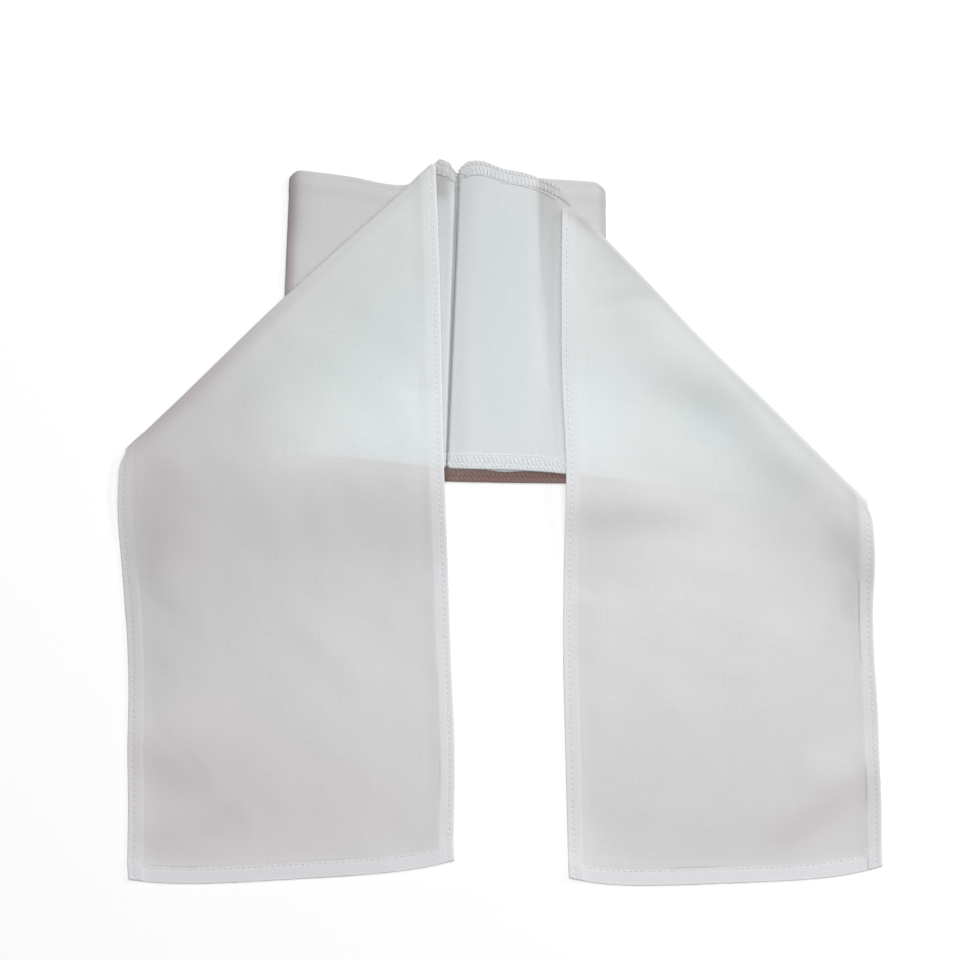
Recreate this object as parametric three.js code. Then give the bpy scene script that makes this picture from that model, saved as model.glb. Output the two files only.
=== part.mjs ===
// Baptism stole: one long strip of white cloth with turned, stitched hems, laid folded on a table.
// The middle of the strip makes an inverted box pleat at the back of the neck. Beside the pleat the
// strip runs left and right as the neck stretches, and each then folds over on the diagonal and
// hangs down as a band.
//
// Millimetres, +Z up. +X runs across the bands to the right, +Y from the end hems to the neck. The
// origin is the middle of the flat underside.

import * as THREE from "three";

// ---- Driving dimensions ------------------------------------------------------------------------

const STRIP_WIDTH = 140; // finished width of the strip
const CLOTH_WALL = 1.1; // one layer of cloth
const HEM_WALL = 1.5; // a hem: the edge turned under, two layers pressed together
const SIDE_HEM = 6.4; // depth of the hems along the strip
const END_HEM = 7.2; // depth of the hem across each end
const GAP = 0.3; // clear space between neighbouring pieces

const HEM_EDGE = 1.0; // how far in from its outer edge a hem is rounded off
const HEM_EDGE_WALL = 0.5; // wall left at that outer edge

const HEM_PART = (SIDE_HEM + GAP) / STRIP_WIDTH; // part of the width that a hem and its seam take
const LAYER = HEM_WALL + GAP; // rise from one layer of the fold to the next
const FOLD_RADIUS = LAYER / 2; // middle of the cloth round a fold
const FOLD_STEPS = 6; // facets round a fold
const PLEAT_CORNER = 5; // radius of the rounded corners of the pleat
const LEFT_NECK_CORNER = 3; // radii of the rounded top corners at the fold in the middle of the neck
const RIGHT_NECK_CORNER = 5;
const NECK_BOTTOM_CORNER = 1.5; // radius of the corners below them
const BAND_CORNER = 6; // radius of the corner at the outer end of each diagonal fold
const LEFT_TIP = 1.5; // radii of the corners at the inner ends of the two diagonal folds
const RIGHT_TIP = 5.5;

const PLEAT_LEFT = -96.5; // the cloth above has come off the pleat beyond these two lines
const PLEAT_RIGHT = 50.5;
const PLEAT_EASE = 60; // how far it takes to come down from the pleat to the table
const NECK_CLEAR = 4; // the bands stay level this far past the neck's bottom edge
const NECK_EASE = 46; // how far they take to come down from there to the table
const CURL_REACH = 26; // how far in from the edge a curled edge is lifted

const CLOTH_WHITE = 0xdcdedf;
const HEM_WHITE = 0xd2d3d6;
const INSIDE_WHITE = 0xcfced1;

const MIDDLE_X = 0.265; // middle of the laid-out stole, in the plan that the sections are given in
const MIDDLE_Y = -1.271;

// ---- Sections ----------------------------------------------------------------------------------
// A section is a straight line across the strip, from its outer edge (the one away from the neck)
// to its inner edge. Each stretch has a short table of them, one row for each section, and its form
// runs smoothly through them. curl is how high the inner edge stands up off what it lies on.

const LEFT_BAND = [
  { outerX: -166.9, outerY: 27.1, innerX: -26.2, innerY: 162.5, curl: 0.8 },
  { outerX: -167.4, outerY: 2.0, innerX: -26.4, innerY: 117.0, curl: 0.6 },
  { outerX: -165.2, outerY: -26.0, innerX: -25.2, innerY: 72.0, curl: 0.4 },
  { outerX: -163.6, outerY: -54.0, innerX: -24.2, innerY: 26.0, curl: 0.2 },
  { outerX: -162.9, outerY: -80.0, innerX: -22.4, innerY: -18.0, curl: 0 },
  { outerX: -163.2, outerY: -106.0, innerX: -20.9, innerY: -62.0, curl: 0 },
  { outerX: -162.8, outerY: -132.0, innerX: -19.2, innerY: -106.0, curl: 0 },
  { outerX: -162.9, outerY: -158.2, innerX: -19.8, innerY: -149.0, curl: 0 },
];

const RIGHT_BAND = [
  { outerX: 164.2, outerY: 5.0, innerX: 25.9, innerY: 150.0, curl: 1.2 },
  { outerX: 165.3, outerY: -15.5, innerX: 27.3, innerY: 106.5, curl: 2.2 },
  { outerX: 163.7, outerY: -39.0, innerX: 27.8, innerY: 63.0, curl: 1.6 },
  { outerX: 164.4, outerY: -62.0, innerX: 29.6, innerY: 19.5, curl: 0.6 },
  { outerX: 166.1, outerY: -85.0, innerX: 28.5, innerY: -24.0, curl: 0 },
  { outerX: 167.3, outerY: -107.0, innerX: 28.3, innerY: -67.5, curl: 0 },
  { outerX: 167.9, outerY: -129.5, innerX: 29.2, innerY: -111.5, curl: 0 },
  { outerX: 167.8, outerY: -151.8, innerX: 30.4, innerY: -155.5, curl: 0 },
];

const LEFT_NECK = [
  { outerX: -166.9, outerY: 27.1, innerX: -24.9, innerY: 163.7 },
  { outerX: -117.0, outerY: 29.5, innerX: -23.4, innerY: 164.0 },
  { outerX: -69.0, outerY: 27.5, innerX: -21.5, innerY: 162.9 },
  { outerX: -23.7, outerY: 22.5, innerX: -19.5, innerY: 160.5 },
];

const RIGHT_NECK = [
  { outerX: -19.9, outerY: 22.5, innerX: -16.0, innerY: 164.5 },
  { outerX: 18.0, outerY: 21.0, innerX: -7.5, innerY: 164.8 },
  { outerX: 60.0, outerY: 16.5, innerX: 2.0, innerY: 161.3 },
  { outerX: 111.0, outerY: 11.5, innerX: 13.5, innerY: 158.6 },
  { outerX: 164.2, outerY: 5.0, innerX: 24.0, innerY: 152.0 },
];

const LEFT_LEAF = [
  { outerX: -23.9, outerY: 23.6, innerX: -19.9, innerY: 151.5 },
  { outerX: -47.0, outerY: 22.9, innerX: -43.0, innerY: 153.5 },
  { outerX: -71.0, outerY: 21.8, innerX: -66.0, innerY: 156.8 },
  { outerX: -95.5, outerY: 20.5, innerX: -90.0, innerY: 160.6 },
];

const RIGHT_LEAF = [
  { outerX: -19.9, outerY: 23.4, innerX: -16.0, innerY: 158.5 },
  { outerX: -9.0, outerY: 22.9, innerX: -5.5, innerY: 158.4 },
  { outerX: 2.0, outerY: 21.3, innerX: 4.0, innerY: 158.1 },
  { outerX: 14.0, outerY: 21.7, innerX: 14.0, innerY: 157.6 },
  { outerX: 30.0, outerY: 20.2, innerX: 29.5, innerY: 156.6 },
  { outerX: 47.9, outerY: 16.4, innerX: 45.7, innerY: 155.4 },
];

const UNDERLAY = [
  { outerX: -95.5, outerY: 20.5, innerX: -90.0, innerY: 160.6 },
  { outerX: -60.0, outerY: 18.7, innerX: -57.0, innerY: 153.4 },
  { outerX: -23.0, outerY: 17.5, innerX: -23.0, innerY: 149.6 },
  { outerX: 15.0, outerY: 16.8, innerX: 15.0, innerY: 154.0 },
  { outerX: 47.9, outerY: 16.4, innerX: 45.7, innerY: 155.4 },
];

const LEFT_END_BOW = 4.3; // how far the end hem swells past the line between its corners
const RIGHT_END_BOW = 5.2;
const BOW_START = 0.72; // part of the band's length where that swelling begins

// ---- Where each layer lies ---------------------------------------------------------------------

const smooth = THREE.MathUtils.smoothstep;

// 1 over the pleat, easing to 0 on the table beside it.
function overPleat(x) {
  return smooth(x, PLEAT_LEFT - PLEAT_EASE, PLEAT_LEFT) * (1 - smooth(x, PLEAT_RIGHT, PLEAT_RIGHT + PLEAT_EASE));
}

// Height of the neck's bottom edge in the plan, at x, read from a neck table.
function bottomEdge(rows, x) {
  const ordered = [...rows].sort((one, other) => one.outerX - other.outerX);
  const xs = ordered.map((row) => row.outerX);
  const ys = ordered.map((row) => row.outerY);
  const place = THREE.MathUtils.clamp(x, xs[0], xs.at(-1));
  return new THREE.LinearInterpolant(xs, ys, 1).evaluate(place)[0];
}

const onTable = () => 0;
const onUnderlay = () => LAYER;
const onLeaves = (x) => 2 * LAYER * overPleat(x);

// A band lies on its neck stretch, and comes down to the table past the neck's bottom edge.
function onNeck(neckRows) {
  return (x, y) => {
    const edge = bottomEdge(neckRows, x) - NECK_CLEAR;
    return (onLeaves(x) + LAYER) * smooth(y, edge - NECK_EASE, edge);
  };
}

// ---- A stretch of the strip --------------------------------------------------------------------

const COLUMNS = ["outerX", "outerY", "innerX", "innerY", "curl"];

class Stretch {
  // fold: "start", "end" or null, where this stretch turns down round a fold.
  // seated: "start", "end" or "both", where it meets another stretch's fold and stops short of it.
  // corners: the radii of the corners at the outer and the inner edge, at the start (0) or the end (1).
  constructor({ rows, bed, fold = null, seated = null, corners = [], endBow = 0 }) {
    const places = rows.map((_, index) => index / (rows.length - 1));
    const values = rows.flatMap((row) => COLUMNS.map((column) => row[column] ?? 0));
    this.table = new THREE.CubicInterpolant(places, new Float64Array(values), COLUMNS.length);
    this.bed = bed;
    this.fold = fold;
    this.seated = seated;
    this.corners = corners;
    this.endBow = endBow;
  }

  // The two ends of the section at s, from 0 to 1 along the stretch, and its curl.
  section(s) {
    const [outerX, outerY, innerX, innerY, curl] = this.table.evaluate(s);
    return { outer: new THREE.Vector2(outerX, outerY), inner: new THREE.Vector2(innerX, innerY), curl };
  }

  // Direction in the plan that points out of the stretch, square to its section at s.
  outward(s) {
    const { outer, inner } = this.section(s);
    const across = inner.clone().sub(outer).normalize();
    const square = new THREE.Vector2(across.y, -across.x);
    const middle = outer.add(inner).multiplyScalar(0.5);
    const further = this.section(s < 0.5 ? s + 0.2 : s - 0.2);
    const inside = further.outer.add(further.inner).multiplyScalar(0.5).sub(middle);
    return square.dot(inside) > 0 ? square.negate() : square;
  }

  // How much the rounded corners draw a section in at one of its edges, "outer" or "inner".
  drawnIn(s, angle, edge) {
    const here = this.section(s)[edge];
    const reaches = this.corners.map((corner) => {
      const radius = corner[edge];
      const depth = here.distanceTo(this.section(corner.at)[edge]) + FOLD_RADIUS * (1 - Math.sin(angle));
      const short = radius - Math.min(depth, radius);
      return radius - Math.sqrt(radius ** 2 - short ** 2);
    });
    return Math.max(0, ...reaches);
  }

  // A point in the plan, at s along the stretch and at the part t of the way across it.
  plan(s, t, angle) {
    const { outer, inner } = this.section(s);
    const nearOuter = Math.max(1 - (t * STRIP_WIDTH) / SIDE_HEM, 0);
    const nearInner = Math.max(1 - ((1 - t) * STRIP_WIDTH) / SIDE_HEM, 0);
    const drawn = this.drawnIn(s, angle, "outer") * nearOuter - this.drawnIn(s, angle, "inner") * nearInner;
    const point = outer.lerp(inner, t + drawn / outer.distanceTo(inner));
    point.y -= this.endBow * smooth(s, BOW_START, 1) * (1 - (2 * t - 1) ** 4);
    return point;
  }

  // Height of the lifted, curled inner edge above the bed.
  curlAt(s, t) {
    const reach = ((1 - t) * STRIP_WIDTH) / CURL_REACH;
    return Math.max(this.section(s).curl, 0) * (1 - smooth(reach, 0, 1));
  }

  // Which way is up on the bed, square to its slope.
  upright(point) {
    const step = 1;
    const slopeX = (this.bed(point.x + step, point.y) - this.bed(point.x - step, point.y)) / (2 * step);
    const slopeY = (this.bed(point.x, point.y + step) - this.bed(point.x, point.y - step)) / (2 * step);
    return new THREE.Vector3(-slopeX, -slopeY, 1).normalize();
  }

  // The middle of a wall and the direction square to it. angle is 0 on the flat stretch and grows
  // to half a turn round the fold. beyond carries the point past the end of the stretch.
  place(s, t, wall, angle, beyond) {
    const point = this.plan(s, t, angle);
    const out = this.outward(s);
    const inset = this.insetAt(s);
    point.addScaledVector(out, beyond - inset);
    const up = this.upright(point);
    const lift = this.curlAt(s, t);
    const radius = FOLD_RADIUS + lift / 2;
    const height = this.bed(point.x, point.y) + lift + wall / 2;
    const side = radius * Math.sin(angle);
    const middle = new THREE.Vector3(
      point.x + out.x * side,
      point.y + out.y * side,
      height - radius * (1 - Math.cos(angle)),
    );
    const square = up.multiplyScalar(Math.cos(angle));
    square.add(new THREE.Vector3(out.x, out.y, 0).multiplyScalar(Math.sin(angle)));
    return { middle, square: square.normalize() };
  }

  // A stretch stops short of the fold that comes down to it.
  insetAt(s) {
    const atStart = s === 0 && ["start", "both"].includes(this.seated);
    const atEnd = s === 1 && ["end", "both"].includes(this.seated);
    return atStart || atEnd ? GAP : 0;
  }
}

// ---- Walls -------------------------------------------------------------------------------------

// Closed solid between two skins, laid half a wall to each side of a grid of placed middles.
function wallSolid(grid) {
  const rows = grid.length;
  const columns = grid[0].length;
  const points = [];
  for (const side of [0.5, -0.5]) {
    for (const row of grid) {
      for (const { middle, square, wall } of row) {
        points.push(middle.clone().addScaledVector(square, side * wall));
      }
    }
  }
  const skin = rows * columns;
  const at = (row, column, layer) => layer * skin + row * columns + column;
  const faces = [];
  for (let row = 0; row < rows - 1; row += 1) {
    for (let column = 0; column < columns - 1; column += 1) {
      const upper = [at(row, column, 0), at(row, column + 1, 0), at(row + 1, column + 1, 0), at(row + 1, column, 0)];
      const lower = upper.map((index) => index + skin);
      faces.push([upper[0], upper[1], upper[2]], [upper[0], upper[2], upper[3]]);
      faces.push([lower[0], lower[2], lower[1]], [lower[0], lower[3], lower[2]]);
    }
  }
  const rim = [];
  for (let column = 0; column < columns - 1; column += 1) {
    rim.push([at(0, column, 0), at(0, column + 1, 0)]);
    rim.push([at(rows - 1, column + 1, 0), at(rows - 1, column, 0)]);
  }
  for (let row = 0; row < rows - 1; row += 1) {
    rim.push([at(row + 1, 0, 0), at(row, 0, 0)]);
    rim.push([at(row, columns - 1, 0), at(row + 1, columns - 1, 0)]);
  }
  for (const [first, second] of rim) {
    faces.push([first, first + skin, second + skin], [first, second + skin, second]);
  }
  return closedGeometry(points, faces);
}

// The faces are turned over where they would point inwards.
function closedGeometry(points, faces) {
  const volume = faces.reduce((sum, [a, b, c]) => {
    return sum + points[a].dot(new THREE.Vector3().crossVectors(points[b], points[c]));
  }, 0);
  const turned = volume < 0 ? faces.map(([a, b, c]) => [a, c, b]) : faces;
  const geometry = new THREE.BufferGeometry();
  geometry.setAttribute("position", new THREE.Float32BufferAttribute(points.flatMap((p) => p.toArray()), 3));
  geometry.setIndex(turned.flat());
  return geometry;
}

// Even steps from one value to another, ends included.
function steps(from, to, count) {
  return Array.from({ length: count + 1 }, (_, index) => from + ((to - from) * index) / count);
}

// Stations along a stretch: round its fold, if it has one, and over its flat.
function stationsOf(stretch, count) {
  const flat = steps(0, 1, count).map((s) => ({ s, angle: 0, beyond: 0 }));
  const turn = steps(Math.PI, 0, FOLD_STEPS).slice(0, -1);
  if (stretch.fold === "start") {
    return [...turn.map((angle) => ({ s: 0, angle, beyond: 0 })), ...flat];
  }
  if (stretch.fold === "end") {
    return [...flat, ...turn.reverse().map((angle) => ({ s: 1, angle, beyond: 0 }))];
  }
  return flat;
}

function gridOf(stretch, stations, columns) {
  return stations.map(({ s, angle, beyond, edgeWall }) => {
    return columns.map(({ t, wall }) => {
      const placed = stretch.place(s, t, wall, angle, beyond);
      return { ...placed, wall: Math.min(wall, edgeWall ?? wall) };
    });
  });
}

function mesh(name, geometry, color) {
  const material = new THREE.MeshStandardMaterial({ color, roughness: 0.9, metalness: 0 });
  const piece = new THREE.Mesh(geometry, material);
  piece.name = name;
  return piece;
}

// The cloth between the two side hems, or out to an edge that has none.
function field(name, stretch, { count, across, hems = ["outer", "inner"], color = CLOTH_WHITE }) {
  const from = hems.includes("outer") ? HEM_PART : 0;
  const to = hems.includes("inner") ? 1 - HEM_PART : 1;
  const columns = steps(from, to, across).map((t) => ({ t, wall: CLOTH_WALL }));
  return mesh(name, wallSolid(gridOf(stretch, stationsOf(stretch, count), columns)), color);
}

// A hem along one long edge, rounded off at that edge.
function sideHem(name, stretch, edge, count) {
  const inwards = [
    { t: 0, wall: HEM_EDGE_WALL },
    { t: HEM_EDGE / STRIP_WIDTH, wall: HEM_WALL },
    { t: SIDE_HEM / STRIP_WIDTH, wall: HEM_WALL },
  ];
  const columns = edge === "outer" ? inwards : inwards.map(({ t, wall }) => ({ t: 1 - t, wall }));
  return mesh(name, wallSolid(gridOf(stretch, stationsOf(stretch, count), columns)), HEM_WHITE);
}

// The hem across the end of a band, over the ends of its side hems.
function endHem(name, stretch, across) {
  const stations = [
    { beyond: GAP },
    { beyond: GAP + END_HEM - HEM_EDGE },
    { beyond: GAP + END_HEM, edgeWall: HEM_EDGE_WALL },
  ].map((station) => ({ s: 1, angle: 0, ...station }));
  const seams = steps(HEM_PART, 1 - HEM_PART, across);
  const columns = [0, ...seams, 1].map((t) => ({ t, wall: HEM_WALL }));
  return mesh(name, wallSolid(gridOf(stretch, stations, columns)), HEM_WHITE);
}

// ---- The stole ---------------------------------------------------------------------------------

function band(side, rows, neckRows, tip, endBow) {
  const corners = [{ at: 0, outer: BAND_CORNER, inner: tip }];
  const stretch = new Stretch({ rows, bed: onNeck(neckRows), fold: "start", corners, endBow });
  return [
    field(`band_${side}`, stretch, { count: 25, across: 10 }),
    sideHem(`band_${side}_hem_outer`, stretch, "outer", 25),
    sideHem(`band_${side}_hem_inner`, stretch, "inner", 25),
    endHem(`band_${side}_hem_end`, stretch, 10),
  ];
}

function neck(side, rows, ends, corner, count) {
  const atBand = { at: ends.fold === "end" ? 0 : 1, outer: BAND_CORNER, inner: 0 };
  const atMiddle = { at: 1 - atBand.at, outer: NECK_BOTTOM_CORNER, inner: corner };
  const stretch = new Stretch({ rows, bed: onLeaves, corners: [atBand, atMiddle], ...ends });
  return [
    field(`neck_${side}`, stretch, { count, across: 8, color: INSIDE_WHITE }),
    sideHem(`neck_${side}_hem_bottom`, stretch, "outer", count),
    sideHem(`neck_${side}_hem_top`, stretch, "inner", count),
  ];
}

function pleatCorner(at) {
  return { at, outer: PLEAT_CORNER, inner: PLEAT_CORNER };
}

function leaf(side, rows) {
  const stretch = new Stretch({ rows, bed: onUnderlay, fold: "end", seated: "start", corners: [pleatCorner(1)] });
  return [
    field(`pleat_${side}`, stretch, { count: 8, across: 6, hems: ["inner"] }),
    sideHem(`pleat_${side}_hem_top`, stretch, "inner", 8),
  ];
}

function underlay() {
  const corners = [pleatCorner(0), pleatCorner(1)];
  const stretch = new Stretch({ rows: UNDERLAY, bed: onTable, seated: "both", corners });
  return [
    field("underlay", stretch, { count: 12, across: 6, hems: ["outer"], color: INSIDE_WHITE }),
    sideHem("underlay_hem_bottom", stretch, "outer", 12),
  ];
}

const stole = new THREE.Group();
stole.position.set(-MIDDLE_X, -MIDDLE_Y, 0);
stole.add(
  ...underlay(),
  ...leaf("left", LEFT_LEAF),
  ...leaf("right", RIGHT_LEAF),
  ...neck("left", LEFT_NECK, { fold: "end", seated: "start" }, LEFT_NECK_CORNER, 18),
  ...neck("right", RIGHT_NECK, { fold: "start", seated: "end" }, RIGHT_NECK_CORNER, 22),
  ...band("left", LEFT_BAND, LEFT_NECK, LEFT_TIP, LEFT_END_BOW),
  ...band("right", RIGHT_BAND, RIGHT_NECK, RIGHT_TIP, RIGHT_END_BOW),
);

export default stole;
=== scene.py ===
"""A white baptism stole, laid folded on a pale table.

One strip of plain-woven white cloth, with turned hems that are topstitched on the right side and
overlocked on the wrong side. Its middle is an inverted box pleat under the neck: an underlay and two
leaves. The neck stretches lie on the pleat wrong side up, and each folds over on the diagonal into a
band that hangs down right side up.

Sizes are in millimetres, in the plan that the sections are given in. Meshes are made in metres, in
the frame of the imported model.
"""

import logging
import math
from dataclasses import dataclass, field
from enum import Enum
from typing import Callable, Sequence, Union

import bpy
import numpy as np
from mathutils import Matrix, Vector


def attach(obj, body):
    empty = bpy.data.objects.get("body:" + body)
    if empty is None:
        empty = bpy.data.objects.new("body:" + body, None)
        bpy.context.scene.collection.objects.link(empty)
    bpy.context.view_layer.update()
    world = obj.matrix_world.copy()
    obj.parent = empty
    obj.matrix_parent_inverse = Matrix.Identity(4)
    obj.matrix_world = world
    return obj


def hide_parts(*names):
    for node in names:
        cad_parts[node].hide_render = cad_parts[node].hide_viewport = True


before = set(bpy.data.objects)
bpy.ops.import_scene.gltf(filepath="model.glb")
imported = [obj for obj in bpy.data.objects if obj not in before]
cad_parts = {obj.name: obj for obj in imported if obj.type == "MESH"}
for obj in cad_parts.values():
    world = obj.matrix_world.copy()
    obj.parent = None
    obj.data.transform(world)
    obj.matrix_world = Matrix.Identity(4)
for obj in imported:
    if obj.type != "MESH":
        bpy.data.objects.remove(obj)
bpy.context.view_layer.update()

LOG = logging.getLogger("stole")

Array = np.ndarray
Bed = Callable[[Array, Array], Array]
Value = Union[float, bpy.types.NodeSocket]
Inputs = dict[Union[str, int], object]

# ---- Driving sizes, in millimetres ----

MM = 0.001  # metres in a millimetre

# The strip and its hems.
PLAN_MIDDLE = (0.265, -1.271)  # the plan point that is the frame's origin
STRIP_WIDTH = 140.0  # finished width of the strip
SIDE_HEM = 6.4  # depth of the hems along the strip
END_HEM = 7.2  # depth of the hem across each end
END_SEAM = 0.3  # between the last section and the end hem
CLOTH = 0.4  # thickness of the cloth
HEM_ROUND = 0.4  # radius of the folded edge of a hem
EDGE_LEFT = 0.1  # part of the thickness that is left at the very edge
HEM_STEP = 0.6  # how far inside its hem the cloth starts to come down off it
HEM_EASE = 5.0  # how far past its hem it has come all the way down
SIDE_CUT = 0.12  # half the width of the step where the cloth of a side hem ends
END_CUT = 0.1  # half the width of the step where the cloth of an end hem ends

# How the layers lie.
LAYER = 1.8  # rise from one layer of the fold to the next
LIE = 0.45  # middle of a single layer above what it lies on
CLEAR = 0.03  # the cloth is never nearer to the table than this
UNDER_THREAD = 0.36  # a hem lies this far off the table, on its own threads
FOLD_REACH = 0.35  # how far a fold reaches out past a plain half turn
FOLD_STEPS = 12  # rows of the grid round a fold
INWARD = 0.2  # part of a stretch, in from its end, that shows which way is out
PLEAT_LEFT = -96.5  # the cloth above starts to come down beyond these two lines
PLEAT_RIGHT = 50.5
PLEAT_EASE = 60.0  # how far it takes to come down from the pleat to the table
NECK_CLEAR = 4.0  # the bands stay level this far past the neck's bottom edge
NECK_EASE = 46.0  # how far they take to come down from there to the table

# Radii of the rounded corners.
PLEAT_CORNER = 5.0  # at the sides of the pleat
LEFT_NECK_CORNER = 3.0  # top corners, at the folds in the middle of the neck
RIGHT_NECK_CORNER = 5.0
NECK_BOTTOM_CORNER = 1.5  # bottom corners, below them
LEFT_BAND_CORNER = 7.0  # at the outer ends of the diagonal folds
RIGHT_BAND_CORNER = 6.0
LEFT_BAND_TIP = 0.5  # at the inner ends of the diagonal folds
RIGHT_BAND_TIP = 1.5
CORNER_EASE = 16.0  # how far in from the edge a rounded corner still draws the cloth

# Curls, swellings, dips and unevenness.
HOLLOW_REACH = 16.0  # how far from a fold a dip in its line is felt
CURL_REACH = 26.0  # how far in from the edge a curled edge is lifted
BOW_START = 0.72  # part of a band's length where the swelling of its end begins
SPRING_START = 5.0  # how far from the fold the cloth starts to come down from its spring
UNEVEN_WAVES = (16.0, 90.0)  # shortest and longest wave of the unevenness
HEM_CALM = 0.55  # part of the unevenness and creases that is left at a hem
CALM_REACH = (3.0, 12.0)  # from the hem's edge, where they start and stop growing
FOLD_CALM = 8.0  # how far from a fold they have grown to their full height
TURN_SOFTNESS = 0.1  # how softly the flank turns up, in square millimetres
TURN_BLUR = 0.5  # how far to each side of its line the flank's painted shade fades

# Sewing.
STITCH_LINE = 2.5  # topstitching, in from a side hem's folded edge
END_STITCH_LINE = 6.5  # the same, in from an end hem's folded edge
END_LOCK_LINE = 3.3  # overlocking, in from an end hem's folded edge
END_LINE_START = 0.4  # an end hem's sewing begins this far in from the side hems
END_RUN_START = 0.6  # its first stitch begins this far in from them
STITCH_PITCH = 2.55  # from one stitch of the topstitching to the next
STITCH_SINK = 0.07  # how far a stitch line draws the cloth in
STITCH_SINK_WIDTH = 0.5  # how far to each side of the line it does so
OVERLOCK_PITCH = 1.9  # from one stitch of the overlocking to the next
LOCK_LINE = 0.3  # how far the overlocking's threads pass its line
LOCK_RIM = 0.2  # how far its chain bows out between two stitches
STITCH_LEAST = (0.9, 0.9, 0.75)  # smallest and largest stitch, as shares of the usual one
STITCH_MOST = (1.08, 1.05, 1.2)
ARC_STEPS = 4  # steps along a thread's arc
PRESSED = 0.45  # height left to a stitch that the cloth lies on
FAINT = 0.2  # height left to one that is pressed into the cloth
FAINT_SHADE = 0.14  # how much darker the thread of such a stitch looks
SEWN_ANGLE = 0.35  # sewing stops where a fold has turned further than this, in radians
SEWN_END_GAP = 0.7  # and this near to the edge of an end hem
SEAM_LOOK = 3.0  # how far in from a side seam its inward direction is read
SEAM_ROWS = 6  # how many rows in from an end seam it is read

# Columns and rows of the grid.
HEM_PLACES = (0, 0.05, 0.16, 0.4, 0.8, 1.4, 1.9, 2.2, 2.5, 2.8, 3.1, 3.8, 4.8, 5.7, 6.28, 6.52, 7.2, 8.4)
END_HEM_PLACES = (7.35, 7.1, 6.8, 6.5, 6.2, 5.9, 5.0, 4.0, 3.0, 2.0, 1.2, 0.7, 0.4, 0.16, 0.05, 0.0)
FIELD_START = 10.0  # evenly spaced columns begin this far in from the edges
FIELD_COLUMNS = 80
EDGE_STEPS = 60  # points that the length of an edge is measured on

# Light and shade.
END_LIGHT = 0.5  # how much lighter an end hem looks
END_LIGHT_REACH = 4.0  # how far past the end hem that fades out
EDGE_REACH = 1.3  # how far the painted highlight at the very edge of a hem reaches in
RIM_REACH = (0.6, 3.6)  # from a fold, where the painted shade along it starts and stops fading
MOST_CONTACT = 1.2  # most that overlapping contacts may add up to
NECK_SHOWS = (-1.4, 0.9)  # from the neck's bottom edge, where it starts and stops showing through
BACKED_HEM = 0.85  # how much of a hem's light is lost where cloth lies close behind

FAR = 1000.0  # a gap that is out of reach


# ---- Small shared pieces ----


class Face(Enum):
    """Which side of the cloth a stretch shows on top."""

    RIGHT = "right side"
    WRONG = "wrong side"


class Fold(Enum):
    """The end of a stretch that turns down into the one below it."""

    NONE = "none"
    START = "start"
    END = "end"


class Edge(Enum):
    """A long edge of the strip: the outer one lies away from the neck."""

    OUTER = "outer"
    INNER = "inner"

    def ends(self, table: Array) -> Array:
        """The ends of the sections at this edge, from a table of their columns."""
        return table[..., 0:2] if self is Edge.OUTER else table[..., 2:4]


@dataclass(frozen=True)
class Section:
    """A straight line across the strip, from its outer edge to its inner edge.

    curl is how high the inner edge stands up off what it lies on.
    """

    outer_x: float
    outer_y: float
    inner_x: float
    inner_y: float
    curl: float = 0.0

    def values(self) -> tuple[float, ...]:
        """The columns of the section's row."""
        return (self.outer_x, self.outer_y, self.inner_x, self.inner_y, self.curl)


@dataclass(frozen=True)
class Corner:
    """The radii of the corners at one end of a stretch, at its outer and at its inner edge."""

    end: float
    outer: float
    inner: float

    def radius(self, edge: Edge) -> float:
        """Radius of the corner at an edge."""
        return self.outer if edge is Edge.OUTER else self.inner


@dataclass(frozen=True)
class Mark:
    """A soft long place on a stretch that fades out on all sides.

    angle is in degrees, turning from +X towards +Y.
    """

    x: float
    y: float
    length: float
    width: float
    angle: float

    def spread(self, x: Array, y: Array) -> Array:
        """How strongly the mark is felt at each point, from 0 to 1.

        Args:
            x: Plan places of the points.
            y: Plan places of the points.

        Returns:
            The strength at each point.
        """
        turn = math.radians(self.angle)
        along = (x - self.x) * math.cos(turn) + (y - self.y) * math.sin(turn)
        across = (y - self.y) * math.cos(turn) - (x - self.x) * math.sin(turn)
        return np.exp(-((2 * across / self.width) ** 2) - (2 * along / self.length) ** 4)


@dataclass(frozen=True)
class Crease(Mark):
    """A soft ridge, or a trough where its height is negative."""

    height: float = 0.0


@dataclass(frozen=True)
class Tone(Mark):
    """A place painted darker and warmer, or lighter and cooler where the values are negative: its shade is
    painted shade, and painted light where negative.
    """

    shade: float = 0.0
    warmth: float = 0.0


@dataclass(frozen=True)
class Contact(Mark):
    """A place where a band lies close on the layers below it, which then show through."""

    strength: float = 1.0


@dataclass(frozen=True)
class Hollow:
    """A place where the line at the end of a stretch dips in the plan.

    Attributes:
        end: End of the stretch that the line is at.
        depth: How far it dips, or rises where this is negative.
        place: How far it is from the line's inner end.
        width: How wide it is.
    """

    end: float
    depth: float
    place: float
    width: float


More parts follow.
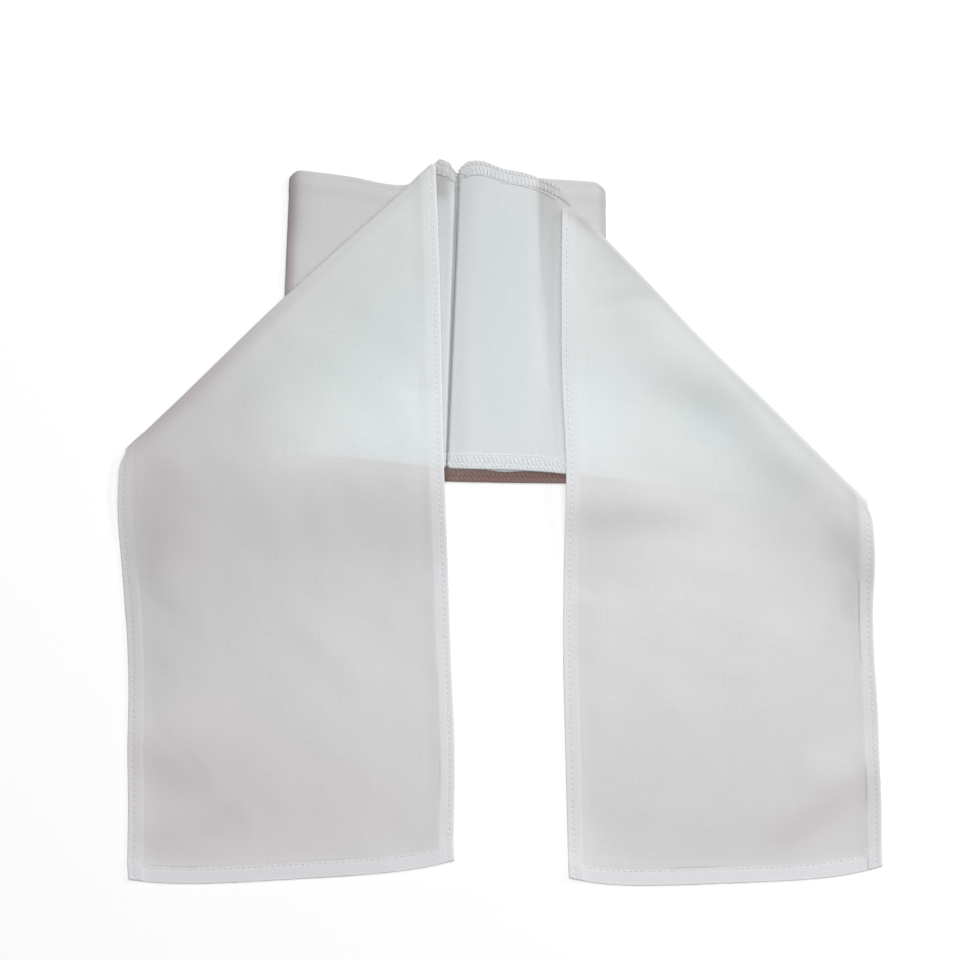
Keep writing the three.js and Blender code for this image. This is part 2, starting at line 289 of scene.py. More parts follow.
@dataclass(frozen=True)
class Flank:
    """Cloth that turns up along a sharp line, and comes down again softly further on.

    Attributes:
        line: Points of the line from its bottom to its top: x, y, rise for each millimetre, and painted
            shade.
        top: x at which the cloth stops rising.
        ease: How far it takes to come down from there.
    """

    line: tuple[tuple[float, float, float, float], ...]
    top: float
    ease: float

    def along(self, y: Array, column: int) -> Array:
        """A column of the line's points, read at each y."""
        return np.interp(y, [point[1] for point in self.line], [point[column] for point in self.line])

    def height(self, x: Array, y: Array) -> Array:
        """Height that the flank adds at each point.

        Args:
            x: Plan places of the points.
            y: Plan places of the points.

        Returns:
            A height for each point.
        """
        past = np.minimum(x, self.top) - self.along(y, 0)
        soft = (past + np.sqrt(past**2 + TURN_SOFTNESS)) / 2
        return self.along(y, 2) * soft * (1.0 - smoothstep(x, self.top, self.top + self.ease))

    def shade(self, x: Array, y: Array) -> Array:
        """How much darker the flank is painted at each point: painted shade on the turned-up cloth."""
        inside = smoothstep(x - self.along(y, 0), -TURN_BLUR, TURN_BLUR)
        return self.along(y, 3) * inside * (1.0 - smoothstep(x, self.top, self.top + self.ease))


class Unevenness:
    """Smooth unevenness made of many faint waves that run in all directions."""

    def __init__(self, seed: int, shortest: float, longest: float, waves: int = 26) -> None:
        """Draws the waves.

        Args:
            seed: Fixed seed of the draw.
            shortest: Shortest wave, in millimetres.
            longest: Longest wave, in millimetres.
            waves: How many waves are summed.
        """
        draw = np.random.default_rng(seed)
        self.lengths = np.geomspace(shortest, longest, waves)
        self.turns = draw.uniform(0.0, 2 * math.pi, waves)
        self.phases = draw.uniform(0.0, 2 * math.pi, waves)
        self.scale = math.sqrt(float(np.sum(self.lengths**2)) / 2)

    def at(self, x: Array, y: Array) -> Array:
        """The unevenness at each point.

        Args:
            x: Plan places of the points.
            y: Plan places of the points.

        Returns:
            A value for each point, about 1 at the usual heights.
        """
        total = np.zeros(np.broadcast(x, y).shape)
        for length, turn, phase in zip(self.lengths, self.turns, self.phases):
            place = x * math.cos(turn) + y * math.sin(turn)
            total += length * np.sin(2 * math.pi * place / length + phase)
        return total / self.scale


def smoothstep(value: Array, low: float, high: float) -> Array:
    """0 at low, 1 at high, and a smooth change between them."""
    share = np.clip((value - low) / (high - low), 0.0, 1.0)
    return share * share * (3.0 - 2.0 * share)


def bell(value: Array, middle: float, width: float) -> Array:
    """1 at the middle, fading out over about the width to each side."""
    return np.exp(-(((value - middle) / width) ** 2))


def unit(vectors: Array) -> Array:
    """The same directions with length 1."""
    return vectors / np.maximum(np.linalg.norm(vectors, axis=-1, keepdims=True), 1e-9)


def through_rows(rows: Array, s: Array) -> Array:
    """Reads a smooth curve through evenly spaced rows.

    Args:
        rows: One row of values for each section.
        s: Places along the stretch, from 0 to 1.

    Returns:
        A row of values for each place.
    """
    padded = np.vstack([2 * rows[0] - rows[1], rows, 2 * rows[-1] - rows[-2]])
    place = np.clip(s, 0.0, 1.0) * (len(rows) - 1)
    index = np.minimum(place.astype(int), len(rows) - 2)
    p = (place - index)[:, None]
    before, here, after, later = (padded[index + step] for step in range(4))
    slope = after - before
    bend = 2 * before - 5 * here + 4 * after - later
    twist = 3 * here - before - 3 * after + later
    return 0.5 * (2 * here + slope * p + bend * p**2 + twist * p**3)


def across_places() -> Array:
    """Places across the strip from its outer edge, close together at the hems.

    Returns:
        The places, in millimetres.
    """
    edge = np.array(HEM_PLACES)
    middle = np.linspace(FIELD_START, STRIP_WIDTH - FIELD_START, FIELD_COLUMNS)
    return np.concatenate([edge, middle, STRIP_WIDTH - edge[::-1]])


# ---- Sections, one row for each: outer x, outer y, inner x, inner y, curl ----

LEFT_BAND = (
    Section(-166.9, 27.1, -27.9, 161.2, 0.8),
    Section(-167.4, 2.0, -26.2, 117.0, 0.6),
    Section(-165.2, -26.0, -25.2, 72.0, 0.4),
    Section(-163.1, -54.0, -24.2, 26.0, 0.2),
    Section(-162.3, -80.0, -22.4, -18.0),
    Section(-162.6, -105.6, -20.9, -62.0),
    Section(-162.1, -131.0, -19.2, -105.7),
    Section(-162.3, -156.7, -19.7, -148.1),
)

RIGHT_BAND = (
    Section(164.2, 2.2, 28.0, 146.0, 1.2),
    Section(165.3, -18.0, 27.6, 105.0, 2.4),
    Section(164.4, -40.0, 27.8, 62.3, 1.8),
    Section(164.7, -62.0, 29.6, 19.5, 0.6),
    Section(166.0, -85.0, 28.5, -24.0),
    Section(166.6, -107.0, 28.3, -67.5),
    Section(167.3, -129.0, 29.2, -111.8),
    Section(167.4, -150.6, 30.3, -156.1),
)

LEFT_NECK = (
    Section(-166.9, 27.1, -26.0, 165.4),
    Section(-117.0, 29.5, -23.4, 164.4),
    Section(-69.0, 27.5, -22.0, 163.7),
    Section(-24.8, 22.5, -20.4, 162.2),
)

RIGHT_NECK = (
    Section(-21.2, 22.5, -16.0, 164.5),
    Section(18.0, 21.0, -7.5, 164.8),
    Section(60.0, 16.5, 2.0, 161.3),
    Section(111.0, 11.5, 13.5, 158.8),
    Section(164.2, 2.2, 25.4, 153.4),
)

LEFT_LEAF = (
    Section(-25.0, 23.6, -19.9, 159.0),
    Section(-47.0, 22.9, -43.0, 154.2),
    Section(-71.4, 21.8, -66.8, 158.3),
    Section(-96.3, 20.5, -90.9, 161.5),
)

RIGHT_LEAF = (
    Section(-21.2, 23.4, -16.0, 158.5),
    Section(-9.0, 22.9, -5.5, 158.4),
    Section(2.0, 21.3, 4.0, 158.1),
    Section(14.0, 21.7, 14.0, 157.6),
    Section(30.0, 20.2, 29.5, 156.6),
    Section(47.9, 16.4, 45.7, 155.4),
)

UNDERLAY = (
    Section(-96.3, 20.5, -90.9, 161.5),
    Section(-60.0, 18.7, -57.0, 154.0),
    Section(-40.0, 18.0, -39.0, 153.2),
    Section(-19.0, 17.4, -18.5, 160.2),
    Section(15.0, 16.8, 15.0, 154.0),
    Section(47.9, 16.4, 45.7, 155.4),
)


# Where the right neck stretch turns up along a sharp line, from the bottom: x, y, rise and painted shade.
NECK_TURN = (
    (28.6, 20.0, 0.03, 0.0),
    (26.8, 46.0, 0.035, 0.0),
    (23.7, 74.6, 0.05, 0.0),
    (21.4, 88.6, 0.065, 0.01),
    (18.9, 109.8, 0.11, 0.055),
    (17.9, 131.0, 0.13, 0.09),
    (17.8, 150.0, 0.14, 0.145),
    (17.8, 165.0, 0.14, 0.15),
)


# ---- What each layer lies on ----


def on_table(x: Array, y: Array) -> Array:
    """Height of the table."""
    return np.zeros(np.broadcast(x, y).shape)


def on_underlay(x: Array, y: Array) -> Array:
    """Height of the bed under the two leaves of the pleat."""
    return on_table(x, y) + LAYER


def on_leaves(x: Array, y: Array) -> Array:
    """Height of the bed under the neck: on the pleat, and down to the table beside it.

    Args:
        x: Plan places of the points.
        y: Plan places of the points.

    Returns:
        A height for each point.
    """
    left = smoothstep(x, PLEAT_LEFT - PLEAT_EASE, PLEAT_LEFT)
    right = 1.0 - smoothstep(x, PLEAT_RIGHT, PLEAT_RIGHT + PLEAT_EASE)
    return on_table(x, y) + 2 * LAYER * left * right


def bottom_edge(neck: Sequence[Section], x: Array) -> Array:
    """Height in the plan of a neck stretch's bottom edge, at each x."""
    ordered = sorted(neck, key=lambda row: row.outer_x)
    return np.interp(x, [row.outer_x for row in ordered], [row.outer_y for row in ordered])


def on_neck(neck: Sequence[Section]) -> Bed:
    """The bed under a band: on its neck stretch, and down to the table past the neck's edge.

    Args:
        neck: Sections of the neck stretch.

    Returns:
        The height of the bed, as a function of the plan.
    """

    def height(x: Array, y: Array) -> Array:
        """Height of the bed at each point."""
        edge = bottom_edge(neck, x) - NECK_CLEAR
        return (on_leaves(x, y) + LAYER) * smoothstep(y - edge, -NECK_EASE, 0.0)

    return height


# ---- A stretch of the strip ----


@dataclass
class SeamLine:
    """A line of sewing: its points, two directions at each of them, and the cloth's painted shade and warmth
    there.
    """

    points: Array
    up: Array
    inward: Array
    shade: Array
    warmth: Array


@dataclass
class Surface:
    """A laid stretch, as grids with a row for each station and a column for each place across."""

    middle: Array
    normal: Array
    upper: Array
    lower: Array
    across: Array
    along: Array
    end_gap: Array
    run: Array
    first_row: int
    last_row: int


@dataclass
class Stretch:
    """One stretch of the strip, laid between its folds.

    Attributes:
        name: Name of the finished piece.
        nodes: CAD nodes that the piece stands for.
        rows: Sections along the stretch.
        bed: Height of what the stretch lies on.
        top_face: Side of the cloth that is up.
        rests_on: Names of the pieces below. Not used.
        fold: End that turns down into the stretch below.
        face_below: Side of the cloth that is up on the stretch below.
        square_end: End where the section runs straight across the strip.
        corners: Its rounded corners.
        hollows: Where the line of its fold dips.
        bare: How far from its fold the sewing begins.
        bare_end: How far from its other end the sewing stops.
        faint: Whether the sewing is pressed flat and has no holes.
        end_bow: How far an end hem swells past the line between its corners, 0 with no end hem.
        spring: How high the cloth stands off along its fold, at the outer and at the inner edge.
        spring_reach: How far from the fold it has come down.
        creases: Ridges and troughs.
        flank: Cloth that turns up along a sharp line.
        tones: Places painted darker and lighter: painted shade and painted light, some with a warm or cool
            tint.
        contacts: Places where the layers below show through.
        shade: How much darker the whole stretch is painted: painted shade.
        warmth: How warm the whole stretch looks.
        rim: Painted shade along its fold: how much darker it is there.
        side_light: How much lighter its side hems look, where it is a single layer over the table.
        edge_light: Painted highlight on the very edge of its hems: how much lighter it is there.
        neck: Neck stretch that lies behind, for a band.
        uneven: Usual height of the unevenness.
        seed: Seed of the unevenness.
        row_step: Longest distance between two stations.
    """

    name: str
    nodes: tuple[str, ...]
    rows: Sequence[Section]
    bed: Bed
    top_face: Face
    rests_on: tuple[str, ...]
    fold: Fold = Fold.NONE
    face_below: Face = Face.WRONG
    square_end: float = 1.0
    corners: tuple[Corner, ...] = ()
    hollows: Sequence[Hollow] = ()
    bare: float = 0.0
    bare_end: float = 0.0
    faint: bool = False
    end_bow: float = 0.0
    spring: tuple[float, float] = (0.0, 0.0)
    spring_reach: float = 28.0
    creases: Sequence[Crease] = ()
    flank: Flank | None = None
    tones: Sequence[Tone] = ()
    contacts: Sequence[Contact] = ()
    shade: float = 0.0
    warmth: float = 0.0
    rim: float = 0.0
    side_light: float = 0.5
    edge_light: float = 0.0
    neck: Sequence[Section] = ()
    uneven: float = 0.12
    seed: int = 1
    row_step: float = 1.5
    surface: Surface = field(init=False)
    marks: dict[str, Array] = field(init=False)

    def table(self, s: Array) -> Array:
        """The columns of the section at each place along the stretch."""
        return through_rows(np.array([row.values() for row in self.rows]), s)

    def edge_length(self, edge: Edge) -> float:
        """Length of a long edge of the stretch, end hem included.

        Args:
            edge: The edge.

        Returns:
            The length, in millimetres.
        """
        points = edge.ends(self.table(np.linspace(0.0, 1.0, EDGE_STEPS)))
        length = float(np.linalg.norm(np.diff(points, axis=0), axis=1).sum())
        return length + (END_SEAM + END_HEM if self.end_bow else 0.0)

    def flat_cut(self) -> tuple[float, float, float]:
        """Sizes of the stretch laid flat.

        Returns:
            Its width and its longest length in metres, and its area in square metres.
        """
        lengths = [self.edge_length(edge) for edge in Edge]
        area = STRIP_WIDTH * sum(lengths) / 2
        return STRIP_WIDTH * MM, max(lengths) * MM, area * MM * MM

    def stations(self) -> tuple[Array, Array, Array]:
        """Sets out the rows of the grid.

        Returns:
            Places along the stretch, angles round its fold, and reaches past its end.
        """
        count = math.ceil(max(self.edge_length(edge) for edge in Edge) / self.row_step)
        s = np.linspace(0.0, 1.0, count + 1)
        angle = np.zeros(len(s))
        turn = np.linspace(math.pi, 0.0, FOLD_STEPS + 1)[:-1]
        if self.fold is Fold.START:
            s = np.concatenate([np.zeros(len(turn)), s])
            angle = np.concatenate([turn, angle])
        elif self.fold is Fold.END:
            s = np.concatenate([s, np.ones(len(turn))])
            angle = np.concatenate([angle, turn[::-1]])
        beyond = np.zeros(len(s))
        if self.end_bow:
            past = END_SEAM + END_HEM - np.array(END_HEM_PLACES)
            s = np.concatenate([s, np.ones(len(past))])
            angle = np.concatenate([angle, np.zeros(len(past))])
            beyond = np.concatenate([beyond, past])
        return s, angle, beyond

    def outward(self, end: float) -> Array:
        """Plan direction that points out of the stretch at an end, square to its section.

        Args:
            end: The end, 0 or 1.

        Returns:
            The direction, with length 1.
        """
        places = np.array([end, INWARD if end == 0.0 else 1.0 - INWARD])
        table = self.table(places)
        across = unit(table[0, 2:4] - table[0, 0:2])
        square = np.array([across[1], -across[0]])
        middles = (table[:, 0:2] + table[:, 2:4]) / 2
        return -square if square @ (middles[1] - middles[0]) > 0 else square

    def plan(self, s: Array, angle: Array, beyond: Array, across: Array) -> Array:
        """Places of the grid in the plan, before its fold turns down.

        Args:
            s: Places along the stretch.
            angle: Angles round its fold.
            beyond: Reaches past its end.
            across: Places across the strip.

        Returns:
            A grid of plan points.
        """
        table = self.table(s)
        outer, inner = table[:, None, 0:2], table[:, None, 2:4]
        share = np.tile(across / STRIP_WIDTH, (len(s), 1))
        if self.corners:
            near_outer = np.maximum(1.0 - across / CORNER_EASE, 0.0)
            near_inner = np.maximum(1.0 - (STRIP_WIDTH - across) / CORNER_EASE, 0.0)
            drawn = self.drawn_in(table, angle, Edge.OUTER)[:, None] * near_outer
            drawn = drawn - self.drawn_in(table, angle, Edge.INNER)[:, None] * near_inner
            share = share + drawn / np.linalg.norm(inner - outer, axis=2)
        points = outer + (inner - outer) * share[:, :, None]
        for hollow in self.hollows:
            points[:, :, 1] -= self.hollowed(hollow, points)
        bow = 1.0 - (2.0 * across / STRIP_WIDTH - 1.0) ** 4
        points[:, :, 1] -= self.end_bow * smoothstep(s, BOW_START, 1.0)[:, None] * bow
        points += self.outward(1.0) * beyond[:, None, None]
        return points

    def hollowed(self, hollow: Hollow, points: Array) -> Array:
        """How far each point of the plan goes down with a hollow.

        Args:
            hollow: The dip in the line at an end.
            points: Grid of plan points.

        Returns:
            A distance for each point.
        """
        line = self.table(np.array([hollow.end]))[0]
        offset = points - line[2:4]
        beside = offset @ unit(line[0:2] - line[2:4])
        away = offset @ self.outward(hollow.end)
        return hollow.depth * bell(beside, hollow.place, hollow.width) * bell(away, 0.0, HOLLOW_REACH)

    def drawn_in(self, table: Array, angle: Array, edge: Edge) -> Array:
        """How far the rounded corners draw in an edge, at each station.

        Args:
            table: Sections at the stations.
            angle: Angles round the fold.
            edge: The edge.

        Returns:
            The distance for each station.
        """
        drawn = np.zeros(len(table))
        for corner in self.corners:
            radius = corner.radius(edge)
            end = edge.ends(self.table(np.array([corner.end])))
            gap = np.linalg.norm(edge.ends(table) - end, axis=1)
            depth = gap + LAYER / 2 * (1.0 - np.sin(angle))
            short = radius - np.minimum(depth, radius)
            drawn = np.maximum(drawn, radius - np.sqrt(radius**2 - short**2))
        return drawn

    def lie(self, face: Face, side_gap: Array, end_gap: Array) -> Array:
        """Height of the middle of the cloth above its bed, raised where a hem is turned under.

        Args:
            face: Side of the cloth that is up.
            side_gap: Distances from the nearer long edge.
            end_gap: Distances from the edge of the end hem.

        Returns:
            A height for each point.
        """
        if face is Face.WRONG:
            return np.full(side_gap.shape, LIE)
        side = 1.0 - smoothstep(side_gap, SIDE_HEM - HEM_STEP, SIDE_HEM + HEM_EASE)
        end = 1.0 - smoothstep(end_gap, END_HEM - HEM_STEP, END_HEM + HEM_EASE)
        return LIE + CLOTH * (side + end)

    def relief(self, points: Array, across: Array, side_gap: Array) -> Array:
        """Height that creases, unevenness, a flank and the fold's spring add.

        Args:
            points: Grid of plan points.
            across: Places across the strip.
            side_gap: Distances from the nearer long edge.

        Returns:
            A height for each point.
        """
        x, y = points[:, :, 0], points[:, :, 1]
        calm = HEM_CALM + (1.0 - HEM_CALM) * smoothstep(side_gap, *CALM_REACH)
        fold_gap = self.fold_gap(points)
        height = self.uneven * Unevenness(self.seed, *UNEVEN_WAVES).at(x, y)
        for crease in self.creases:
            height = height + crease.height * crease.spread(x, y)
        height = height * calm * smoothstep(fold_gap, 0.0, FOLD_CALM)
        if self.flank:
            height = height + self.flank.height(x, y)
        outer, inner = self.spring
        rise = outer + (inner - outer) * across / STRIP_WIDTH
        return height + rise * (1.0 - smoothstep(fold_gap, SPRING_START, self.spring_reach))

    def fold_gap(self, points: Array) -> Array:
        """Distance in the plan of each point from the line of the fold, or far with no fold.

        Args:
            points: Grid of plan points.

        Returns:
            A distance for each point.
        """
        if self.fold is Fold.NONE:
            return np.full(points.shape[:2], FAR)
        end = self.table(np.array([self.fold_end()]))[0]
        line = unit(end[2:4] - end[0:2])
        offset = points - end[2:4]
        return np.abs(offset[:, :, 0] * line[1] - offset[:, :, 1] * line[0])

    def thickness(self, side_gap: Array, end_gap: Array) -> tuple[Array, Array]:
        """How far the two skins lie from the middle of the cloth.

        Args:
            side_gap: Distances from the nearer long edge.
            end_gap: Distances from the edge of the end hem.

        Returns:
            Distances of the upper and the lower skin.
        """
        side = 1.0 - smoothstep(side_gap, SIDE_HEM - SIDE_CUT, SIDE_HEM + SIDE_CUT)
        end = 1.0 - smoothstep(end_gap, END_HEM - END_CUT, END_HEM + END_CUT)
        plain = np.full(side.shape, CLOTH / 2)
        turned = plain + CLOTH * (side + end)
        above, below = (plain, turned) if self.top_face is Face.RIGHT else (turned, plain)
        centre, half = (above - below) / 2, (above + below) / 2
        rounded = self.edge_round(side_gap) * self.edge_round(end_gap)
        sink = bell(side_gap, STITCH_LINE, STITCH_SINK_WIDTH)
        sink = sink + bell(end_gap, END_STITCH_LINE, STITCH_SINK_WIDTH) * (side_gap > SIDE_HEM)
        half = half * rounded - STITCH_SINK * sink
        return centre + half, half - centre

    @staticmethod
    def edge_round(gap: Array) -> Array:
        """Part of the full thickness that is left near a rounded edge."""
        short = np.clip(1.0 - gap / HEM_ROUND, 0.0, 1.0)
        return np.maximum(np.sqrt(1.0 - short**2), EDGE_LEFT)

    def lay(self) -> Surface:
        """Works out the whole surface of the stretch.

        Returns:
            The surface, which the stretch also keeps.
        """
        across = across_places()
        s, angle, beyond = self.stations()
        points = self.plan(s, angle, beyond, across)
        side_gap = np.tile(np.minimum(across, STRIP_WIDTH - across), (len(s), 1))
        end_gap = self.end_gaps(s, beyond, side_gap)
        above, below = self.thickness(side_gap, end_gap)
        top = self.top_height(s, points, across, side_gap, end_gap)
        hem = 1.0 - smoothstep(np.minimum(side_gap, end_gap), SIDE_HEM, SIDE_HEM + HEM_EASE)
        top = np.maximum(top, below + CLEAR + UNDER_THREAD * hem)
        bed = self.bed(points[:, :, 0], points[:, :, 1])
        low = bed - LAYER + self.lie(self.face_below, side_gap, end_gap)
        middle = self.turned_down(points, angle, top, low)
        normal = self.normals(middle, angle)
        upper = middle + normal * above[:, :, None]
        lower = middle - normal * below[:, :, None]
        first, last = self.sewn_rows(s, angle, end_gap)
        run = np.zeros(top.shape) if self.faint else self.seam_run(upper, across, first, last)
        along = self.lengths(middle)
        self.surface = Surface(middle, normal, upper, lower, across, along, end_gap, run, first, last)
        return self.surface

    def end_gaps(self, s: Array, beyond: Array, side_gap: Array) -> Array:
        """Distances from the edge of the end hem, or far with no end hem.

        Args:
            s: Places along the stretch.
            beyond: Reaches past its end.
            side_gap: Distances from the nearer long edge.

        Returns:
            A distance for each point of the grid.
        """
        if not self.end_bow:
            return np.full(side_gap.shape, FAR)
        mean = sum(self.edge_length(edge) for edge in Edge) / 2
        gaps = END_SEAM + END_HEM - beyond + (1.0 - s) * mean
        return np.tile(gaps[:, None], (1, side_gap.shape[1]))

    def top_height(self, s: Array, points: Array, across: Array, side_gap: Array, end_gap: Array) -> Array:
        """Height of the middle of the cloth, before its fold turns down.

        Args:
            s: Places along the stretch.
            points: Grid of plan points.
            across: Places across the strip.
            side_gap: Distances from the nearer long edge.
            end_gap: Distances from the edge of the end hem.

        Returns:
            A height for each point of the grid.
        """
        bed = self.bed(points[:, :, 0], points[:, :, 1])
        curl = np.maximum(self.table(s)[:, 4:5], 0.0)
        curl = curl * (1.0 - smoothstep((STRIP_WIDTH - across) / CURL_REACH, 0.0, 1.0))
        top = bed + self.lie(self.top_face, side_gap, end_gap) + curl
        return top + self.relief(points, across, side_gap)

    def turned_down(self, points: Array, angle: Array, top: Array, low: Array) -> Array:
        """Places of the grid, with its fold turned down into the stretch below.

        Args:
            points: Grid of plan points.
            angle: Angles round the fold.
            top: Heights of the cloth on top.
            low: Heights of the cloth below.

        Returns:
            The grid in three dimensions.
        """
        radius = (top - low) / 2
        turned = angle[:, None] > 0.0
        out = self.outward(self.fold_end())
        reach = np.where(turned, (radius + FOLD_REACH) * np.sin(angle)[:, None], 0.0)
        middle = np.zeros(points.shape[:2] + (3,))
        middle[:, :, 0:2] = points + out * reach[:, :, None]
        middle[:, :, 2] = np.where(turned, low + radius * (1.0 + np.cos(angle)[:, None]), top)
        return middle

    def lengths(self, middle: Array) -> Array:
        """Length of cloth from the stretch's square end to each point of the grid.

        Args:
            middle: Grid of points in three dimensions.

        Returns:
            A length for each point.
        """
        steps = np.linalg.norm(np.diff(middle, axis=0), axis=2)
        along = np.vstack([np.zeros(middle.shape[1]), np.cumsum(steps, axis=0)])
        return along[-1] - along if self.square_end == 1.0 else along

    def sewn_rows(self, s: Array, angle: Array, end_gap: Array) -> tuple[int, int]:
        """First and last row of the grid that the side seams run to.

        Args:
            s: Places along the stretch.
            angle: Angles round its fold.
            end_gap: Distances from the edge of the end hem.

        Returns:
            The two rows.
        """
        kept = self.from_end(s, self.fold_end()) >= self.bare
        kept &= self.from_end(s, 1.0 - self.fold_end()) >= self.bare_end
        sewn = np.flatnonzero((angle < SEWN_ANGLE) & (end_gap[:, 0] > SEWN_END_GAP) & kept)
        return int(sewn[0]), int(sewn[-1])

    def fold_end(self) -> float:
        """The end of the stretch that its fold is at."""
        return 0.0 if self.fold is Fold.START else 1.0

    def from_end(self, s: Array, end: float) -> Array:
        """How far each station is from an end, along the inner edge."""
        place = Edge.INNER.ends(self.table(np.array([end])))
        return np.linalg.norm(Edge.INNER.ends(self.table(s)) - place, axis=1)

    @staticmethod
    def normals(middle: Array, angle: Array) -> Array:
        """Directions square to the cloth, up on its flat part.

        Args:
            middle: Grid of points in three dimensions.
            angle: Angles round the fold.

        Returns:
            A direction for each point.
        """
        rows = np.gradient(middle, axis=0)
        columns = np.gradient(middle, axis=1)
        square = unit(np.cross(columns, rows))
        flat = square[angle == 0.0, :, 2].mean()
        return square if flat > 0 else -square

    @staticmethod
    def seam_run(upper: Array, across: Array, first: int, last: int) -> Array:
        """Counts the side stitches up to each row, for the nearer of the two long edges.

        Args:
            upper: Grid of points of the upper skin.
            across: Places across the strip.
            first: First row that is sewn.
            last: Last row that is sewn.

        Returns:
            A count for each point.
        """
        run = np.zeros(upper.shape[:2])
        for place, near in (
            (STITCH_LINE, across < STRIP_WIDTH / 2),
            (STRIP_WIDTH - STITCH_LINE, across >= STRIP_WIDTH / 2),
        ):
            column = int(np.argmin(np.abs(across - place)))
            steps = np.linalg.norm(np.diff(upper[:, column], axis=0), axis=1)
            length = np.concatenate([[0.0], np.cumsum(steps)])
            whole = length[last] - length[first]
            count = max(int(whole / STITCH_PITCH), 1)
            run[:, near] = np.clip((length - length[first]) * count / whole, 0.0, count)[:, None]
        return run

    # -- Sewing --

    def side_seam(self, edge: Edge, gap: float, on_top: bool) -> SeamLine:
        """A line of sewing along a long edge.

        Args:
            edge: The edge that it follows.
            gap: Distance in from that edge.
            on_top: Whether it lies on the upper skin.

        Returns:
            The line, with its directions.
        """
        laid = self.surface
        place = gap if edge is Edge.OUTER else STRIP_WIDTH - gap
        inner = place + (SEAM_LOOK if edge is Edge.OUTER else -SEAM_LOOK)
        column = int(np.argmin(np.abs(laid.across - place)))
        further = int(np.argmin(np.abs(laid.across - inner)))
        rows = slice(laid.first_row, laid.last_row + 1)
        inward = laid.middle[rows, further] - laid.middle[rows, column]
        return self.seam((rows, column), on_top, inward)

    def end_seam(self, gap: float, on_top: bool) -> SeamLine:
        """A line of sewing across the end hem, between the two side hems.

        Args:
            gap: Distance in from the hem's folded edge.
            on_top: Whether it lies on the upper skin.

        Returns:
            The line, with its directions.
        """
        laid = self.surface
        row = int(np.argmin(np.abs(laid.end_gap[:, 0] - gap)))
        side_gap = np.minimum(laid.across, STRIP_WIDTH - laid.across)
        columns = np.flatnonzero(side_gap > SIDE_HEM + END_LINE_START)
        inward = laid.middle[row - SEAM_ROWS, columns] - laid.middle[row, columns]
        return self.seam((row, columns), on_top, inward)

    def seam(self, place: tuple, on_top: bool, inward: Array) -> SeamLine:
        """A line of sewing through some points of the grid.

        Args:
            place: Rows and columns of the points.
            on_top: Whether it lies on the upper skin.
            inward: Rough direction away from the hem's edge at each point.

        Returns:
            The line, whose inward direction is square to it.
        """
        laid = self.surface
        points = (laid.upper if on_top else laid.lower)[place]
        up = laid.normal[place] * (1.0 if on_top else -1.0)
        square = unit(np.cross(up, np.gradient(points, axis=0)))
        side = np.sign(np.sum(square * inward, axis=1, keepdims=True))
        shade = self.marks["shade"][place] + (FAINT_SHADE if self.faint else 0.0)
        return SeamLine(points, up, square * side, shade, self.marks["warmth"][place])

    # -- Mesh --

    def attributes(self) -> dict[str, Array]:
        """What the finish reads at each point, in millimetres where it is a distance.

        Returns:
            The values at the points, for the name of each attribute.
        """
        laid = self.surface
        x, y = laid.middle[:, :, 0], laid.middle[:, :, 1]
        side_gap = np.minimum(laid.across, STRIP_WIDTH - laid.across)
        # Painted shade and painted light: the stretch's own shade, its tones, the flank's shade and the
        # shade along its fold, less the painted highlight at the edges of its hems.
        shade = np.full(x.shape, self.shade)
        warmth = np.full(x.shape, self.warmth)
        for tone in self.tones:
            spread = tone.spread(x, y)
            shade = shade + tone.shade * spread
            warmth = warmth + tone.warmth * spread
        if self.flank:
            shade = shade + self.flank.shade(x, y)
        fold_gap = self.fold_gap(laid.middle[:, :, 0:2])
        shade = shade + self.rim * (1.0 - smoothstep(fold_gap, *RIM_REACH))
        edge_gap = np.minimum(side_gap, laid.end_gap)
        shade = shade - self.edge_light * smoothstep(edge_gap, EDGE_REACH, 0.0)
        contact = np.zeros(x.shape)
        for place in self.contacts:
            contact = contact + place.strength * place.spread(x, y)
        contact = np.clip(contact, 0.0, MOST_CONTACT)
        neck_behind = y - bottom_edge(self.neck, x) if self.neck else np.full(x.shape, FAR)
        backed = contact * smoothstep(neck_behind, *NECK_SHOWS)
        end_light = smoothstep(laid.end_gap, END_HEM + END_LIGHT_REACH, END_HEM)
        hem_light = self.side_light + (END_LIGHT - self.side_light) * end_light
        hem_light = hem_light * (1.0 - BACKED_HEM * backed)
        end_run = (laid.across - SIDE_HEM - END_RUN_START) / STITCH_PITCH
        return {
            "side_gap": np.broadcast_to(side_gap, x.shape),
            "end_gap": laid.end_gap,
            "side_run": laid.run,
            "end_run": np.broadcast_to(end_run, x.shape),
            "shade": shade,
            "warmth": np.clip(warmth, -1.0, 1.0),
            "contact": contact,
            "neck_behind": neck_behind,
            "hem_light": np.clip(hem_light, 0.0, 1.0),
        }

